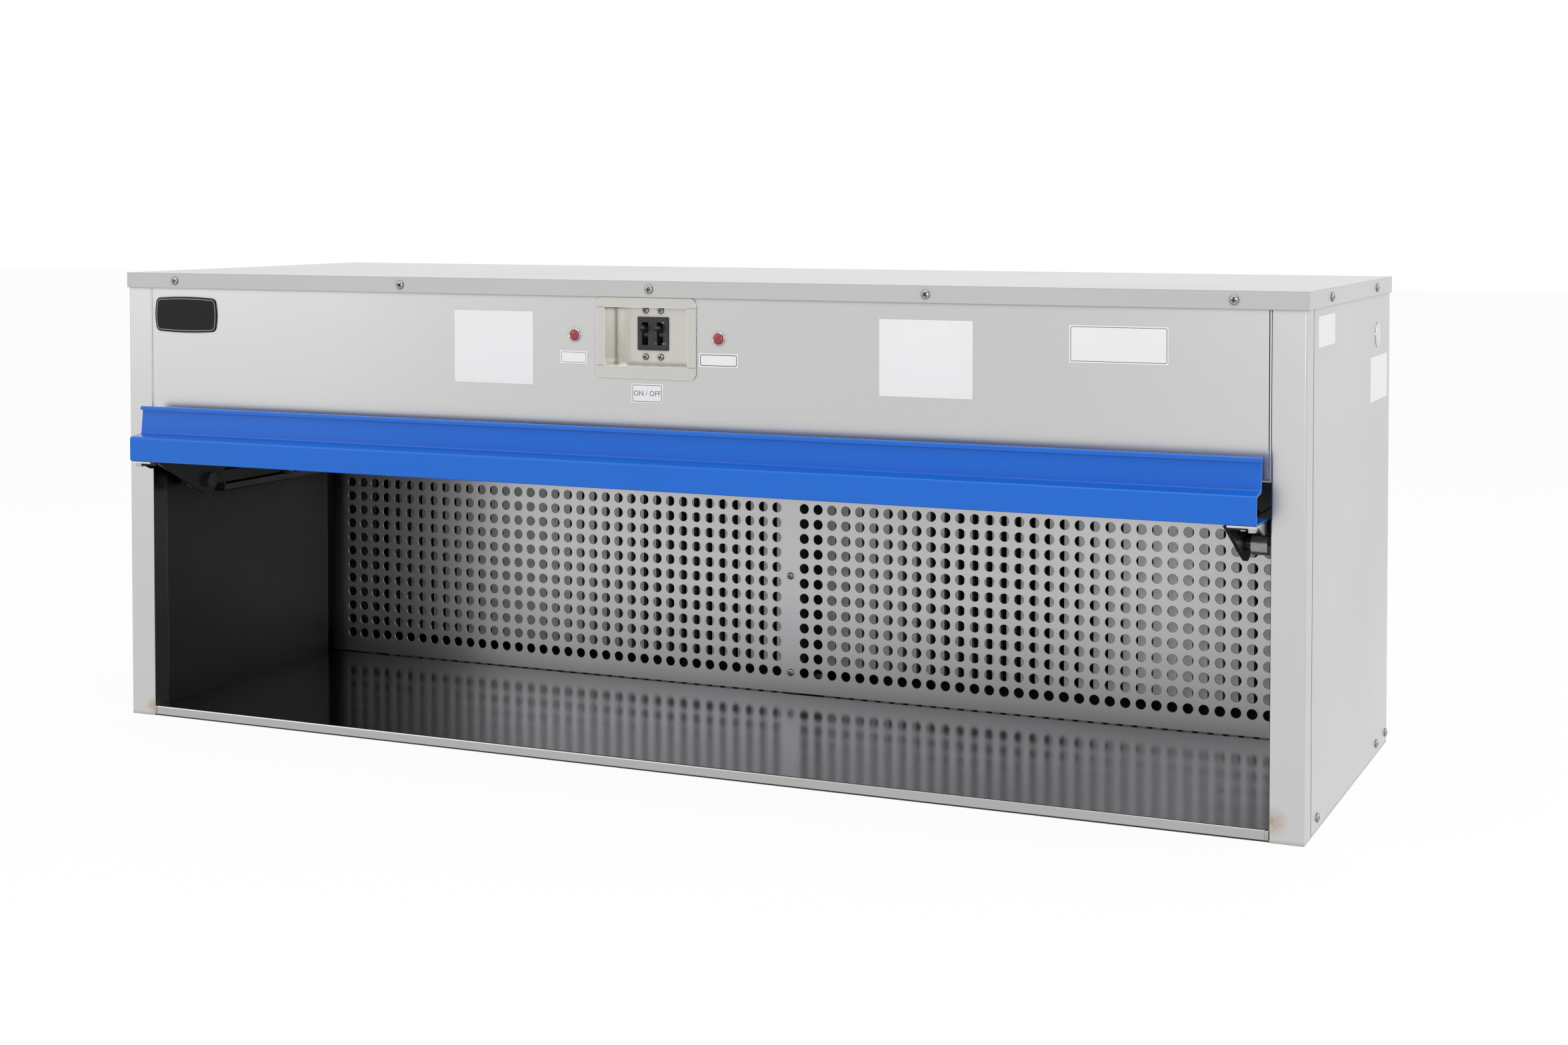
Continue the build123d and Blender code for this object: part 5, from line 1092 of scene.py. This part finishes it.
face_place = seat(ON_FRONT, BREAKER_X, BREAKER_FACE, BREAKER_Z)
bm = bmesh.new()
add_plate(bm, *POLE_SEAM, face_place)
for x in (-POLE_OFFSET, POLE_OFFSET):
    place = seat(ON_FRONT, BREAKER_X + x, BREAKER_FACE, BREAKER_Z)
    add_border(bm, *POLE_BORDER, place)
    add_plate(bm, *POLE_BAR, place @ Matrix.Translation((0, -POLE_BAR_DROP, 0)))
new_piece("breaker_face_ribs", bm, toggle_black, "cabinet")
mark_white = mottled("mark_white", (0.7, 0.7, 0.7), (0.6, 0.6, 0.6), (0.4, 0.5))
lettering("breaker_marks", MARKS, MARK_SIZE, face_place, mark_white)

# Pilot lights.
# Two lamps with red moulded lenses, each a low dome, held by a turned and plated ring
# on the fascia.
PILOTS = (("power", -95.3), ("trouble", 85.3))
PILOT_Z = 488.4
RING_PROFILE = ((7.5, 0.0), (7.5, 0.9), (7.2, 1.5), (6.7, 1.8), (6.2, 1.6), (6.0, 1.1), (6.0, 0.0))
LENS_PROFILE = (
    (0.0, 0.0), (5.85, 0.0), (5.85, 1.5), (5.6, 2.1),
    (4.7, 2.7), (3.2, 3.05), (1.6, 3.18), (0.0, 3.2),
)

ring_plate = brushed_steel("plated_ring", "Y", (0.72, 0.71, 0.7), (0.62, 0.61, 0.6), (0.12, 0.2))
lens_red = mottled("lens_red", (0.36, 0.018, 0.03), (0.26, 0.01, 0.018), (0.12, 0.22), size=250.0)
set_shader(lens_red, "Coat Weight", 0.5)
bm = bmesh.new()
for _, x in PILOTS:
    place = seat(ON_FRONT, x, FRONT_FACE, PILOT_Z)
    add_turned(bm, in_metres(RING_PROFILE), place, steps=40, closed=True)
rings = new_piece("pilot_rings", bm, ring_plate, "cabinet", smooth=50)
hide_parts("pilot_bezels")
for name, x in PILOTS:
    bm = bmesh.new()
    add_turned(bm, in_metres(LENS_PROFILE), seat(ON_FRONT, x, FRONT_FACE, PILOT_Z), steps=40)
    dome = new_piece(f"{name}_lens_dome", bm, lens_red, "cabinet", smooth=50)
    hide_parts(f"{name}_light_lens")

# Right end.
# The end panel has a cable entry closed by a pressed stainless plug, and two bare
# self-adhesive plates.
END_PLATES = ((-143.5, 508.0, 88.0, 32.0), (168.0, 437.5, 109.0, 51.0))
PLUG_Y, PLUG_Z = 159.5, 487.0
PLUG_PROFILE = ((0.0, 0.0), (14.5, 0.0), (14.5, 0.5), (13.9, 0.9), (12.6, 1.2), (8.0, 1.5), (0.0, 1.6))

bm = bmesh.new()
for y, z, width, height in END_PLATES:
    add_white_plate(bm, width, height, seat(ON_RIGHT, END_FACE, y, z))
new_piece("end_plates", bm, vinyl, "cabinet")
bm = bmesh.new()
add_turned(bm, in_metres(PLUG_PROFILE), seat(ON_RIGHT, END_FACE, PLUG_Y, PLUG_Z), steps=48)
plug_steel = brushed_steel("plug_steel", "Z", (0.7, 0.69, 0.67), (0.6, 0.59, 0.57), (0.14, 0.22), STEEL_EDGE)
plug = new_piece("entry_plug_dome", bm, plug_steel, "cabinet", smooth=50)
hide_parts("cable_entry_plug")

# Slides.
# Lipped steel rails on the liners, nylon glides clamped to flat carriage bars, and a
# tube across that keeps both sides level. All in the shade under the ceiling.
rail_steel = brushed_steel("rail_steel", "Y", (0.1, 0.098, 0.1), (0.06, 0.06, 0.062), (0.24, 0.4))
dress(rail_steel, "rails", "rail_stops")
dress(mottled("nylon", (0.72, 0.7, 0.64), (0.62, 0.6, 0.54), (0.35, 0.5), size=500.0), "glides")
dark_steel = mottled("dark_steel", (0.2, 0.2, 0.21), (0.11, 0.11, 0.115), (0.28, 0.46), 220.0, 0.9)
dress(dark_steel, "carriage_bars", "cross_shaft")
bright_steel = mottled("bright_steel", (0.52, 0.51, 0.5), (0.4, 0.39, 0.38), (0.22, 0.36), 300.0, 1.0)
dress(bright_steel, "glide_bolts", "pivot_pins", "door_bolts")

# Door.
# A stainless pan on black brackets, with a stainless angle at each end. The grip is
# one blue powder-coated sheet, folded with a hooked top edge and a ledge for fingers.
# Each front bolt carries a dark bumper sleeve.
dress(steel_along, "door_panel", "door_strips")
bracket_black = mottled("bracket_black", (0.03, 0.03, 0.032), (0.016, 0.016, 0.017), (0.22, 0.4), 260.0, 0.3)
set_shader(bracket_black, "Specular IOR Level", 0.3)
dress(bracket_black, "front_brackets", "rear_brackets", "door_arms")
bolt_black = mottled("bolt_black", (0.07, 0.07, 0.073), (0.04, 0.04, 0.042), (0.2, 0.36), 260.0, 0.8)
dress(bolt_black, "front_bolts")
sleeve_grey = mottled("sleeve_grey", (0.36, 0.355, 0.35), (0.24, 0.24, 0.24), (0.2, 0.3), 260.0, 0.7)
dress(sleeve_grey, "bumper_sleeves")
# Painted highlights along the grip's folds and edges, and painted shade in its inner folds.
BLUE_EDGE = edge_light_and_seam_shade((0.06, 0.25, 0.86), 0.6, (0.0, 0.03, 0.25), 0.6, 0.0014, 0.004)
BLUE_LIGHT, BLUE_DARK = (0.008, 0.145, 0.64), (0.006, 0.126, 0.58)
powder_blue = mottled(
    "powder_blue", BLUE_LIGHT, BLUE_DARK, (0.16, 0.24), 650.0, bump=(0.05, 0.0002), edge=BLUE_EDGE
)
set_shader(powder_blue, "Specular IOR Level", 0.3)
dress(powder_blue, "door_handle")
